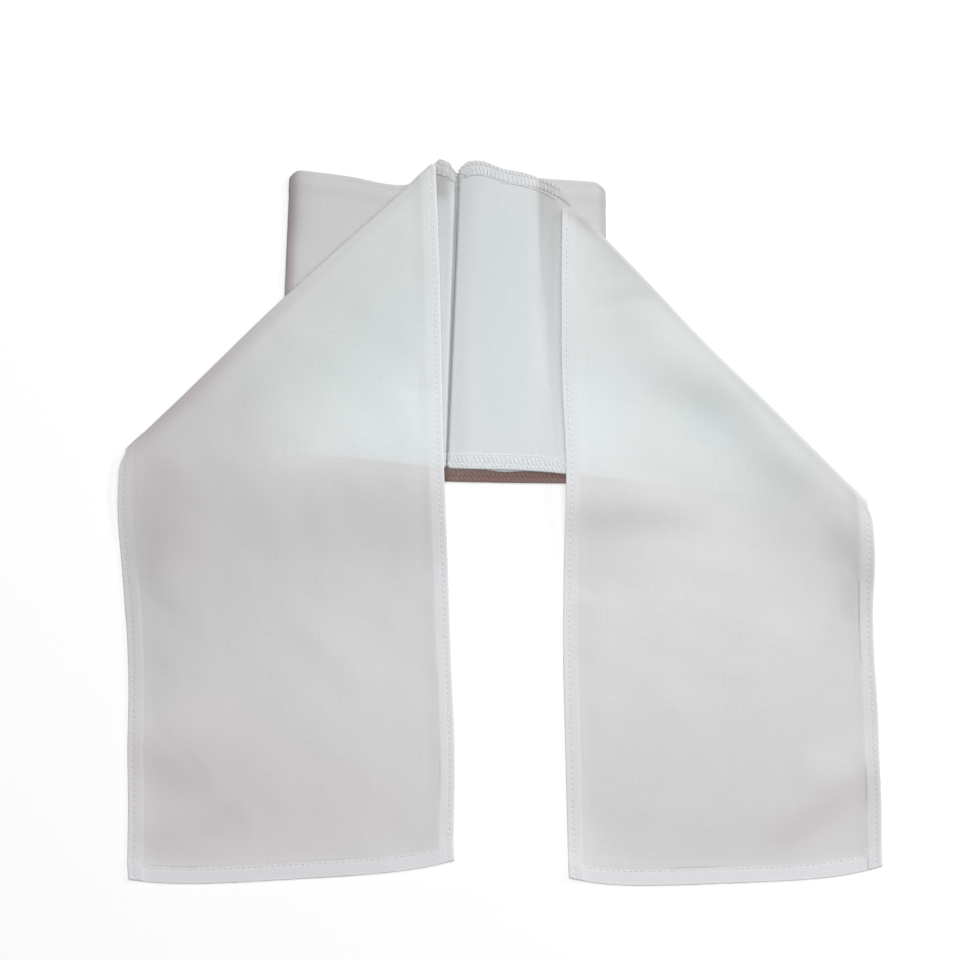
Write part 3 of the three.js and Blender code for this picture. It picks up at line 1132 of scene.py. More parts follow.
    def build(self, material: bpy.types.Material) -> bpy.types.Object:
        """Makes the closed thin shell of the stretch.

        Args:
            material: Its finish.

        Returns:
            The finished piece.
        """
        laid = self.lay()
        self.marks = self.attributes()
        rows, columns = laid.middle.shape[:2]
        points = np.concatenate([laid.upper.reshape(-1, 3), laid.lower.reshape(-1, 3)])
        faces = shell_faces(rows, columns)
        if laid.normal[:, :, 2].mean() * winding(laid.upper) < 0:
            faces = faces[:, ::-1]
        cloth_u = np.tile(np.broadcast_to(laid.across, (rows, columns)).ravel(), 2) * MM
        cloth_v = np.tile(laid.along.ravel(), 2) * MM
        mesh = bpy.data.meshes.new(self.name)
        mesh.from_pydata(to_frame(points).tolist(), [], faces.tolist())
        mesh.polygons.foreach_set("use_smooth", np.ones(len(faces), dtype=bool))
        layer = mesh.uv_layers.new(name="cloth")
        corners = faces.ravel()
        layer.data.foreach_set("uv", np.stack([cloth_u[corners], cloth_v[corners]], axis=1).ravel())
        for name, values in self.marks.items():
            attribute = mesh.attributes.new(name, "FLOAT", "POINT")
            attribute.data.foreach_set("value", np.tile(values.ravel(), 2).astype(np.float32))
        mesh.materials.append(material)
        mesh.validate()
        mesh.update()
        return put_in_scene(self.name, mesh)


def put_in_scene(name: str, data: bpy.types.ID) -> bpy.types.Object:
    """Makes an object of a mesh, a light or a camera, and links it into the scene.

    Args:
        name: Name of the object.
        data: What it shows.

    Returns:
        The object.
    """
    made = bpy.data.objects.new(name, data)
    bpy.context.scene.collection.objects.link(made)
    return made


def to_frame(points: Array) -> Array:
    """Moves plan points in millimetres into the frame, in metres."""
    return (points - np.array([*PLAN_MIDDLE, 0.0])) * MM


def winding(grid: Array) -> float:
    """Positive where a grid's rows and columns turn as its faces do, seen from above.

    Args:
        grid: Points of one skin.

    Returns:
        A positive or negative area.
    """
    down = (grid[-1] - grid[0]).mean(axis=0)
    over = (grid[:, -1] - grid[:, 0]).mean(axis=0)
    return float(over[0] * down[1] - over[1] * down[0])


def shell_faces(rows: int, columns: int) -> Array:
    """Four-sided faces of a closed shell between two skins.

    Args:
        rows: Rows of each skin.
        columns: Columns of each skin.

    Returns:
        The corners of each face.
    """
    index = np.arange(rows * columns).reshape(rows, columns)
    skin = rows * columns
    first, right = index[:-1, :-1].ravel(), index[:-1, 1:].ravel()
    below, across = index[1:, :-1].ravel(), index[1:, 1:].ravel()
    upper = np.stack([first, right, across, below], axis=1)
    lower = upper[:, ::-1] + skin
    rim = np.concatenate([index[0, ::-1], index[1:, 0], index[-1, 1:], index[-2:0:-1, -1]])
    following = np.roll(rim, -1)
    sides = np.stack([rim, following, following + skin, rim + skin], axis=1)
    return np.concatenate([upper, lower, sides])


# ---- Node trees ----


class Tree:
    """A node tree with short ways to add nodes and join them."""

    def __init__(self, nodes: bpy.types.NodeTree) -> None:
        """Wraps a node tree."""
        self.nodes = nodes

    def add(self, kind: str, inputs: Inputs | None = None, **settings: object) -> bpy.types.Node:
        """Adds a node, sets its settings and then feeds its inputs.

        Args:
            kind: Type of node.
            inputs: What goes into its sockets, by their names or places.
            settings: Its settings, by name.

        Returns:
            The node.
        """
        node = self.nodes.nodes.new(kind)
        for name, value in settings.items():
            setattr(node, name, value)
        for socket, value in (inputs or {}).items():
            self.feed(node.inputs[socket], value)
        return node

    def feed(self, socket: bpy.types.NodeSocket, value: object) -> None:
        """Links another node's output to a socket, or sets the socket's own value.

        Args:
            socket: The input.
            value: An output or a plain value.
        """
        if isinstance(value, bpy.types.NodeSocket):
            self.nodes.links.new(value, socket)
        else:
            socket.default_value = value

    def math(self, operation: str, *values: Value, clamp: bool = False) -> bpy.types.NodeSocket:
        """The result of a Math node on the values, kept from 0 to 1 where clamp is set."""
        inputs = dict(enumerate(values))
        return self.add("ShaderNodeMath", inputs, operation=operation, use_clamp=clamp).outputs[0]

    def rise(self, value: Value, low: float, high: float, start: float = 0.0, end: float = 1.0) -> Value:
        """A smooth step from start to end, while a value goes from low to high."""
        inputs = {"Value": value, "From Min": low, "From Max": high, "To Min": start, "To Max": end}
        return self.add("ShaderNodeMapRange", inputs, interpolation_type="SMOOTHSTEP").outputs[0]

    def darker(self, light: Value, mask: Value, depth: float) -> Value:
        """A light factor, made less where a mask is set."""
        return self.math("MULTIPLY", light, self.math("SUBTRACT", 1.0, self.math("MULTIPLY", mask, depth)))

    def read(self, label: str) -> bpy.types.NodeSocket:
        """One of the values that a mesh carries at its points."""
        return self.add("ShaderNodeAttribute", attribute_name=label).outputs["Fac"]

    def lit(self, colour_in: Value, light: Value) -> bpy.types.NodeSocket:
        """A colour multiplied by a light factor."""
        return self.add("ShaderNodeVectorMath", {0: colour_in, "Scale": light}, operation="SCALE").outputs[0]

    def vector(self, *parts: Value) -> bpy.types.NodeSocket:
        """A vector from three values."""
        return self.add("ShaderNodeCombineXYZ", dict(enumerate(parts))).outputs[0]

    def blend(self, share: Value, one: object, other: object) -> bpy.types.NodeSocket:
        """A mix of two colours, with this share of the other one."""
        inputs = {0: share, 6: one, 7: other}  # the places of its factor and its two colours
        return self.add("ShaderNodeMix", inputs, data_type="RGBA", clamp_factor=True).outputs[2]


def new_group(name: str, kind: str, inputs: dict[str, tuple[str, object]], outputs: dict[str, str]) -> Tree:
    """Starts a node group with named inputs and outputs.

    Args:
        name: Name of the group.
        kind: Type of node tree.
        inputs: Socket type and default for each input.
        outputs: Socket type for each output.

    Returns:
        The group's tree.
    """
    group = bpy.data.node_groups.new(name, kind)
    for label, (socket_type, default) in inputs.items():
        socket = group.interface.new_socket(name=label, in_out="INPUT", socket_type=socket_type)
        if default is not None:
            socket.default_value = default
    for label, socket_type in outputs.items():
        group.interface.new_socket(name=label, in_out="OUTPUT", socket_type=socket_type)
    return Tree(group)


# ---- Sewing, by Geometry Nodes ----


@dataclass(frozen=True)
class Sewing:
    """A kind of stitch, with its sizes in millimetres.

    Attributes:
        name: Name of its Geometry Nodes tree.
        pitch: Distance from one stitch to the next.
        thread: Radius of the thread.
        arch: How high a thread stands off the cloth.
        length: Length of a stitch along the seam.
        inner: How far the threads reach in from the line, 0 for a plain line of stitches.
        outer: How far they reach out from it towards the hem's edge.
        sides: Sides of the thread's tube.
        seed: Seed of the small differences from stitch to stitch.
    """

    name: str
    pitch: float
    thread: float
    arch: float
    length: float
    inner: float = 0.0
    outer: float = 0.0
    sides: int = 6
    seed: int = 3

    def tree(self) -> bpy.types.NodeTree:
        """Builds the tree that sews this stitch along seam lines.

        Returns:
            The tree.
        """
        number = "NodeSocketFloat"
        inputs = {
            "Seam Lines": ("NodeSocketGeometry", None),
            "Pitch": (number, self.pitch * MM),
            "Thread Radius": (number, self.thread * MM),
            "Arch": (number, self.arch * MM),
            "Stitch Length": (number, self.length * MM),
            "Inner Reach": (number, self.inner * MM),
            "Outer Reach": (number, self.outer * MM),
            "Press": (number, 1.0),
            "Seed": ("NodeSocketInt", self.seed),
            "Thread": ("NodeSocketMaterial", None),
        }
        tree = new_group(self.name, "GeometryNodeTree", inputs, {"Stitches": "NodeSocketGeometry"})
        given = tree.add("NodeGroupInput").outputs
        half = tree.math("MULTIPLY", given["Stitch Length"], 0.5)
        back = tree.math("MULTIPLY", given["Stitch Length"], -0.5)
        high = tree.math("MULTIPLY", given["Arch"], 2.0)
        if self.inner:
            threads = self.overlock_threads(tree, given, half, back, high)
        else:
            start, end = tree.vector(back, 0.0, 0.0), tree.vector(half, 0.0, 0.0)
            threads = [(start, tree.vector(0.0, 0.0, high), end)]
        stitch = tree.add("GeometryNodeJoinGeometry")
        profile = {"Resolution": self.sides, "Radius": given["Thread Radius"]}
        circle = tree.add("GeometryNodeCurvePrimitiveCircle", profile, mode="RADIUS")
        for start, middle, end in threads:
            bent = {"Resolution": ARC_STEPS, "Start": start, "Middle": middle, "End": end}
            arc = tree.add("GeometryNodeCurveQuadraticBezier", bent)
            skin = {"Curve": arc.outputs[0], "Profile Curve": circle.outputs[0], "Fill Caps": True}
            tree.feed(stitch.inputs[0], tree.add("GeometryNodeCurveToMesh", skin).outputs[0])
        self.place_stitches(tree, given, stitch.outputs[0])
        return tree.nodes

    @staticmethod
    def overlock_threads(tree: Tree, given: object, half: Value, back: Value, high: Value) -> list[tuple]:
        """The three threads of one overlock stitch.

        Args:
            tree: The tree being built.
            given: Its inputs.
            half: Half a stitch length forwards.
            back: Half a stitch length backwards.
            high: Height of the middle of a thread's arc.

        Returns:
            Start, middle and end of each thread.
        """
        inner, outer = given["Inner Reach"], given["Outer Reach"]
        half_inner = tree.math("MULTIPLY", inner, 0.5)
        half_outer = tree.math("MULTIPLY", outer, -0.5)
        out = tree.math("MULTIPLY", outer, -1.0)
        line = LOCK_LINE * MM
        ahead = tree.math("MULTIPLY", given["Pitch"], 0.5)
        behind = tree.math("MULTIPLY", given["Pitch"], -0.5)
        rim = tree.math("ADD", inner, LOCK_RIM * MM)
        paths = [
            ((back, inner), half_inner, (half, line)),
            ((behind, inner), rim, (ahead, inner)),
            ((back, -line), half_outer, (half, out)),
        ]
        return [
            (tree.vector(*start, 0.0), tree.vector(0.0, middle, high), tree.vector(*end, 0.0))
            for start, middle, end in paths
        ]

    @staticmethod
    def place_stitches(tree: Tree, given: object, stitch: bpy.types.NodeSocket) -> None:
        """Sets a stitch at each step along the seam lines, and gives the tree its output.

        Args:
            tree: The tree being built.
            given: Its inputs.
            stitch: One stitch, at the origin.
        """
        curve = tree.add("GeometryNodeMeshToCurve", {"Mesh": given["Seam Lines"]})
        spaced = {"Curve": curve.outputs[0], "Length": given["Pitch"]}
        steps = tree.add("GeometryNodeResampleCurve", spaced, mode="LENGTH")
        turn = tree.add("FunctionNodeAxesToRotation", primary_axis="Z", secondary_axis="Y")
        for name, socket in (("up", "Primary Axis"), ("inward", "Secondary Axis")):
            read = tree.add("GeometryNodeInputNamedAttribute", {"Name": name}, data_type="FLOAT_VECTOR")
            tree.feed(turn.inputs[socket], read.outputs["Attribute"])
        limits = {0: STITCH_LEAST, 1: STITCH_MOST, "Seed": given["Seed"]}
        vary = tree.add("FunctionNodeRandomValue", limits, data_type="FLOAT_VECTOR")
        pressed = {0: vary.outputs[0], 1: tree.vector(1.0, 1.0, given["Press"])}
        size = tree.add("ShaderNodeVectorMath", pressed, operation="MULTIPLY")
        placed = {
            "Points": steps.outputs[0],
            "Instance": stitch,
            "Rotation": turn.outputs[0],
            "Scale": size.outputs[0],
        }
        set_out = tree.add("GeometryNodeInstanceOnPoints", placed)
        real = tree.add("GeometryNodeRealizeInstances", {0: set_out.outputs[0]})
        smooth = tree.add("GeometryNodeSetShadeSmooth", {"Geometry": real.outputs[0]})
        finish = {"Geometry": smooth.outputs[0], "Material": given["Thread"]}
        dressed = tree.add("GeometryNodeSetMaterial", finish)
        tree.add("NodeGroupOutput", {0: dressed.outputs[0]})

    def sew(
        self, name: str, lines: Sequence[SeamLine], thread: bpy.types.Material, press: float
    ) -> bpy.types.Object:
        """Sews along the lines and returns the stitches as one plain mesh.

        Args:
            name: Name of the piece.
            lines: Seam lines to follow.
            thread: Finish of the thread.
            press: Part of its full height that is left to a stitch.

        Returns:
            The finished piece.
        """
        path = bpy.data.meshes.new(name + "_lines")
        edges: list[tuple[int, int]] = []
        start = 0
        for line in lines:
            edges += [(start + step, start + step + 1) for step in range(len(line.points) - 1)]
            start += len(line.points)
        path.from_pydata(to_frame(np.concatenate([line.points for line in lines])).tolist(), edges, [])
        vector, number = ("FLOAT_VECTOR", "vector"), ("FLOAT", "value")
        carried = {"up": vector, "inward": vector, "shade": number, "warmth": number}
        for label, (kind, slot) in carried.items():
            values = np.concatenate([getattr(line, label) for line in lines]).astype(np.float32)
            path.attributes.new(label, kind, "POINT").data.foreach_set(slot, values.ravel())
        piece = put_in_scene(name, path)
        modifier = piece.modifiers.new("sewing", "NODES")
        modifier.node_group = bpy.data.node_groups.get(self.name) or self.tree()
        settings = {"Thread": thread, "Press": press}
        for item in modifier.node_group.interface.items_tree:
            if item.item_type == "SOCKET" and item.in_out == "INPUT" and item.name in settings:
                modifier[item.identifier] = settings[item.name]
        graph = bpy.context.evaluated_depsgraph_get()
        sewn = bpy.data.meshes.new_from_object(piece.evaluated_get(graph))
        piece.modifiers.remove(modifier)
        piece.data = sewn
        sewn.name = name
        bpy.data.meshes.remove(path)
        return piece


TOPSTITCH = Sewing("topstitch", pitch=STITCH_PITCH, thread=0.24, arch=0.18, length=1.35)
OVERLOCK = Sewing(
    "overlock",
    pitch=OVERLOCK_PITCH,
    thread=0.23,
    arch=0.2,
    length=1.6,
    inner=3.9,
    outer=1.8,
    sides=4,
    seed=5,
)


# ---- Finishes ----


def colour(*parts: int) -> tuple[float, float, float, float]:
    """A colour from its usual 0 to 255 values.

    Args:
        parts: Its red, green and blue.

    Returns:
        The colour with linear values, and an alpha of 1.
    """
    shares = [part / 255 for part in parts]
    linear = [share / 12.92 if share <= 0.04045 else ((share + 0.055) / 1.055) ** 2.4 for share in shares]
    return (*linear, 1.0)


WEAVE_THREADS = 1900.0  # threads of the weave in a metre
WANDER_SCALE = 90.0  # how closely they wander
WANDER = 0.0016  # how far they wander, in metres
STREAK_SCALES = ((1500.0, 70.0), (70.0, 1500.0))  # of the uneven threads, across and along each way
SLUB_SCALES = ((260.0, 950.0, 0.66), (1000.0, 260.0, 0.7))  # of the slubs, and how rare they are
SLUB_LAYER = 3.7  # keeps the slubs' noise off the streaks'
SLUB_EDGE = 0.08  # how softly a slub begins
CROSSING_HEIGHT = 0.3  # heights of the crossings, the uneven threads and the slubs
STREAK_HEIGHT = 1.6
SLUB_HEIGHT = 0.8
HOLE_RADII = (0.15, 0.55)  # from the middle of a needle hole, where it starts and stops fading
LINE_WIDTHS = (0.2, 0.8)  # the same for the line that stitches draw in
SIDE_BLUR = 0.8  # how far to each side of its edge the colour of a side hem fades
END_BLUR = 0.6
LOCK_REACH = (SIDE_HEM - 0.1, SIDE_HEM + 0.5)  # where the painted shade between the loops fades
TWIST_RANGE = (0.2, 0.8)  # of the twist's noise, from the smoothest to the roughest


def stretched_noise(
    tree: Tree, place: Sequence[Value], scales: Sequence[float], layer: float, detail: float
) -> bpy.types.NodeSocket:
    """Noise that is fine in one direction of the cloth and long in the other.

    Args:
        tree: The tree being built.
        place: The two coordinates of the cloth.
        scales: How fine the noise is along each of them.
        layer: Third coordinate of the noise.
        detail: How much finer noise is added.

    Returns:
        The noise, from 0 to 1.
    """
    u, v = (tree.math("MULTIPLY", part, scale) for part, scale in zip(place, scales))
    inputs = {"Vector": tree.vector(u, v, layer), "Scale": 1.0, "Detail": detail}
    return tree.add("ShaderNodeTexNoise", inputs).outputs[0]


def plain_weave() -> bpy.types.NodeTree:
    """The weave that every stretch of the cloth has: fine crossing threads and a few slubs.

    Returns:
        A group that gives the height of the threads, and masks of the uneven threads and slubs.
    """
    inputs = {
        "Vector": ("NodeSocketVector", None),
        "Threads": ("NodeSocketFloat", WEAVE_THREADS),
    }
    outputs = {"Height": "NodeSocketFloat", "Threads": "NodeSocketFloat", "Slubs": "NodeSocketFloat"}
    tree = new_group("plain weave", "ShaderNodeTree", inputs, outputs)
    given = tree.add("NodeGroupInput").outputs
    split = tree.add("ShaderNodeSeparateXYZ", {0: given["Vector"]})
    u, v = split.outputs[0], split.outputs[1]
    wander = tree.add("ShaderNodeTexNoise", {"Vector": given["Vector"], "Scale": WANDER_SCALE})
    shift = tree.math("MULTIPLY", tree.math("SUBTRACT", wander.outputs[0], 0.5), WANDER)
    waves = []
    for place in (u, v):
        turned = tree.math("MULTIPLY", tree.math("ADD", place, shift), given["Threads"])
        waves.append(tree.math("SINE", tree.math("MULTIPLY", turned, math.pi)))
    crossing = tree.math("MULTIPLY", *waves)
    streaks = []
    for scales in STREAK_SCALES:
        noise = stretched_noise(tree, (u, v), scales, 0.0, 2.0)
        streaks.append(tree.math("SUBTRACT", noise, 0.5))
    threads = tree.math("ADD", *streaks)
    slubs = []
    for *scales, low in SLUB_SCALES:
        noise = stretched_noise(tree, (u, v), scales, SLUB_LAYER, 1.0)
        slubs.append(tree.rise(noise, low, low + SLUB_EDGE))
    slub = tree.math("SUBTRACT", *slubs)
    woven = tree.math("MULTIPLY", crossing, CROSSING_HEIGHT)
    height = tree.math("ADD", woven, tree.math("MULTIPLY", threads, STREAK_HEIGHT))
    raised = tree.math("MULTIPLY", tree.math("ABSOLUTE", slub), SLUB_HEIGHT)
    height = tree.math("ADD", height, raised)
    tree.add("NodeGroupOutput", {"Height": height, "Threads": threads, "Slubs": slub})
    return tree.nodes


def needle_holes() -> bpy.types.NodeTree:
    """The row of small holes that a line of stitches goes down into.

    Returns:
        A group that gives a mask of the holes and a mask of the drawn-in line.
    """
    number = "NodeSocketFloat"
    inputs = {"Gap": (number, 0.0), "Run": (number, 0.0), "Line": (number, STITCH_LINE)}
    tree = new_group("needle holes", "ShaderNodeTree", inputs, {"Holes": number, "Line": number})
    given = tree.add("NodeGroupInput").outputs
    off_line = tree.math("SUBTRACT", given["Gap"], given["Line"])
    shifted = tree.math("SUBTRACT", tree.math("FRACT", given["Run"]), 0.5)
    along = tree.math("MULTIPLY", shifted, STITCH_PITCH)
    beside = tree.math("MULTIPLY", off_line, off_line)
    away = tree.math("SQRT", tree.math("ADD", beside, tree.math("MULTIPLY", along, along)))
    holes = tree.rise(away, *HOLE_RADII, 1.0, 0.0)
    line = tree.rise(tree.math("ABSOLUTE", off_line), *LINE_WIDTHS, 1.0, 0.0)
    tree.add("NodeGroupOutput", {"Holes": holes, "Line": line})
    return tree.nodes


def start_material(name: str, inputs: Inputs) -> tuple[bpy.types.Material, Tree, bpy.types.Node]:
    """Starts a material with one Principled shader.

    Args:
        name: Name of the material.
        inputs: Values of the shader that are the same all over.

    Returns:
        The material, its tree and its shader.
    """
    material = bpy.data.materials.new(name)
    material.use_nodes = True
    material.node_tree.nodes.clear()
    tree = Tree(material.node_tree)
    shader = tree.add("ShaderNodeBsdfPrincipled", inputs)
    tree.add("ShaderNodeOutputMaterial", {"Surface": shader.outputs[0]})
    return material, tree, shader


def add_relief(tree: Tree, shader: bpy.types.Node, height: Value, strength: float, depth: float) -> None:
    """Gives a shader a fine relief, with its depth in metres."""
    inputs = {"Strength": strength, "Distance": depth, "Height": height}
    tree.feed(shader.inputs["Normal"], tree.add("ShaderNodeBump", inputs).outputs[0])


@dataclass(frozen=True)
class ClothFinish:
    """The white cloth, seen from one side.

    Attributes:
        name: Name of the material.
        single: Colour of one layer over the table.
        backed: Colour where more of the cloth lies close behind.
        hem: Colour that a hem leans to, where the cloth is double.
        warm: Colour that warm places lean to.
        hole_depth: How dark a needle hole is painted: painted shade in the hole.
        lock_depth: How dark the cloth is painted between the loops of the overlocking: painted shade under
            the loops.
        thread_light: How much lighter a raised thread of the weave looks.
        slub_light: How much lighter a slub looks.
        roughness: Roughness of the cloth.
        thread_roughness: How much rougher a raised thread is.
        hole_bump: How deep a needle hole is, against the height of the weave.
        bump: Strength of the relief.
        bump_depth: Depth of the relief, in metres.
        sheen: Strength of the soft sheen.
        sheen_roughness: Roughness of the sheen.
        gloss: Strength of plain reflections.
    """

    name: str
    single: tuple[int, int, int]
    backed: tuple[int, int, int]
    hem: tuple[int, int, int]
    warm: tuple[int, int, int]
    hole_depth: float
    lock_depth: float = 0.0
    thread_light: float = 0.07
    slub_light: float = 0.035
    roughness: float = 0.86
    thread_roughness: float = 0.2
    hole_bump: float = 4.0
    bump: float = 0.35
    bump_depth: float = 0.00006
    sheen: float = 0.1
    sheen_roughness: float = 0.6
    gloss: float = 0.2

    def material(self) -> bpy.types.Material:
        """Makes the finish.

        Returns:
            The material.
        """
        look = {
            "Sheen Weight": self.sheen,
            "Sheen Roughness": self.sheen_roughness,
            "Specular IOR Level": self.gloss,
        }
        material, tree, shader = start_material(self.name, look)
        place = tree.add("ShaderNodeUVMap", uv_map="cloth").outputs[0]
        weave = self.group(tree, "plain weave", plain_weave, {"Vector": place})
        sides = self.holes(tree, tree.read("side_gap"), tree.read("side_run"), STITCH_LINE)
        ends = self.holes(tree, tree.read("end_gap"), tree.read("end_run"), END_STITCH_LINE)
        clear = tree.math("GREATER_THAN", tree.read("side_gap"), SIDE_HEM + END_LINE_START)
        hole = tree.math("MAXIMUM", sides[0], tree.math("MULTIPLY", ends[0], clear))
        line = tree.math("MAXIMUM", sides[1], tree.math("MULTIPLY", ends[1], clear))
        threads, slubs = weave.outputs["Threads"], weave.outputs["Slubs"]
        light = tree.math("ADD", tree.math("MULTIPLY", threads, self.thread_light), 1.0)
        light = tree.math("ADD", light, tree.math("MULTIPLY", slubs, self.slub_light))
        # painted shade and painted light that each stretch carries
        light = tree.darker(light, tree.read("shade"), 1.0)
        # painted shade in the needle holes
        light = tree.darker(light, hole, self.hole_depth)
        # painted shade on the cloth between the loops of the overlocking
        if self.lock_depth:
            sewn = tree.rise(tree.read("side_gap"), *LOCK_REACH, 1.0, 0.0)
            light = tree.darker(light, sewn, self.lock_depth)
        tree.feed(shader.inputs["Base Color"], tree.lit(self.base(tree), light))
        rough = tree.math("MULTIPLY", threads, self.thread_roughness)
        tree.feed(shader.inputs["Roughness"], tree.math("ADD", rough, self.roughness, clamp=True))
        sunk = tree.math("MULTIPLY", hole, self.hole_bump)
        height = tree.math("SUBTRACT", weave.outputs["Height"], sunk)
        height = tree.math("SUBTRACT", height, line)
        add_relief(tree, shader, height, self.bump, self.bump_depth)
        return material

    def base(self, tree: Tree) -> bpy.types.NodeSocket:
        """Colour of the cloth with its warm and cool tints, before its weave and its painted shade and
        light.

        Args:
            tree: The material's tree.

        Returns:
            The output.
        """
        behind = tree.rise(tree.read("neck_behind"), *NECK_SHOWS)
        behind = tree.math("MULTIPLY", behind, tree.read("contact"))
        base = tree.blend(behind, colour(*self.single), colour(*self.backed))
        side = tree.rise(tree.read("side_gap"), SIDE_HEM - SIDE_BLUR, SIDE_HEM + SIDE_BLUR, 1.0, 0.0)
        end = tree.rise(tree.read("end_gap"), END_HEM - END_BLUR, END_HEM + END_BLUR, 1.0, 0.0)
        double = tree.math("MULTIPLY", tree.math("MAXIMUM", side, end), tree.read("hem_light"))
        base = tree.blend(double, base, colour(*self.hem))
        base = tree.blend(tree.read("warmth"), base, colour(*self.warm))
        return tree.blend(tree.math("MULTIPLY", tree.read("warmth"), -1.0), base, colour(*COOL))

    @staticmethod
    def group(
        tree: Tree, name: str, make: Callable[[], bpy.types.NodeTree], inputs: Inputs
    ) -> bpy.types.Node:
        """Places a shared group in the material, making it the first time."""
        return tree.add("ShaderNodeGroup", inputs, node_tree=bpy.data.node_groups.get(name) or make())

    def holes(self, tree: Tree, gap: Value, run: Value, line: float) -> tuple[Value, Value]:
        """Masks of the holes and of the line of one row of stitches."""
        node = self.group(tree, "needle holes", needle_holes, {"Gap": gap, "Run": run, "Line": line})
        return node.outputs["Holes"], node.outputs["Line"]


@dataclass(frozen=True)
class ThreadFinish:
    """White sewing thread, which takes on the painted shade and the tints of the cloth round it.

    Attributes:
        name: Name of the material.
        light: Its lighter colour.
        dark: Its darker colour.
        warm: Colour that it leans to in warm places.
        twist: How fine the twist of the thread is.
        roughness: Least and greatest roughness.
        bump: Strength of the relief.
        bump_depth: Depth of the relief, in metres.
        sheen: Strength of the soft sheen.
        gloss: Strength of plain reflections.
    """

    name: str
    light: tuple[int, int, int]
    dark: tuple[int, int, int]
    warm: tuple[int, int, int]
    twist: float = 2600.0
    roughness: tuple[float, float] = (0.6, 0.8)
    bump: float = 0.4
    bump_depth: float = 0.00005
    sheen: float = 0.15
    gloss: float = 0.3

    def material(self) -> bpy.types.Material:
        """Makes the finish.

        Returns:
            The material.
        """
        look = {"Sheen Weight": self.sheen, "Specular IOR Level": self.gloss}
        material, tree, shader = start_material(self.name, look)
        place = tree.add("ShaderNodeTexCoord").outputs["Object"]
        twist = tree.add("ShaderNodeTexNoise", {"Vector": place, "Scale": self.twist}).outputs[0]
        base = tree.blend(twist, colour(*self.dark), colour(*self.light))
        base = tree.blend(tree.read("warmth"), base, colour(*self.warm))
        tree.feed(shader.inputs["Base Color"], tree.lit(base, tree.darker(1.0, tree.read("shade"), 1.0)))
        tree.feed(shader.inputs["Roughness"], tree.rise(twist, *TWIST_RANGE, *self.roughness))
        add_relief(tree, shader, twist, self.bump, self.bump_depth)
        return material


COOL = (188, 216, 214)  # colour that cool places of the cloth lean to
RIGHT_SIDE = ClothFinish(
    name="white cloth right side",
    single=(211, 211, 210),
    backed=(219, 224, 224),
    hem=(231, 231, 236),
    warm=(196, 169, 176),
    hole_depth=0.06,
)
WRONG_SIDE = ClothFinish(
    name="white cloth wrong side",
    single=(214, 217, 218),
    backed=(214, 217, 218),
    hem=(226, 228, 230),
    # dark brown of the painted shadow on the underlay's bottom hem; the warm tints of the neck stretches
    # lean to it too
    warm=(129, 103, 96),
    hole_depth=0.05,
    lock_depth=0.05,
)
THREAD = ThreadFinish(
    name="white thread",
    light=(244, 245, 247),
    dark=(226, 228, 231),
    # brown that the thread leans to in warm places, as in the painted shadow on the underlay's bottom hem
    warm=(160, 134, 124),
)


# ---- The stole ----


SLIT = Tone(-20.9, 70, 150, 1.4, 87.5, shade=0.34)  # painted shadow in the slit between the two neck folds
WIDE_SLIT = Tone(-20.9, 70, 150, 3.6, 87.5, shade=0.34)  # the same painted shadow, wider, on the layers below them
LEFT_BOW = Hollow(0.0, depth=-2.0, place=80.0, width=60.0)  # the left diagonal fold swells a little


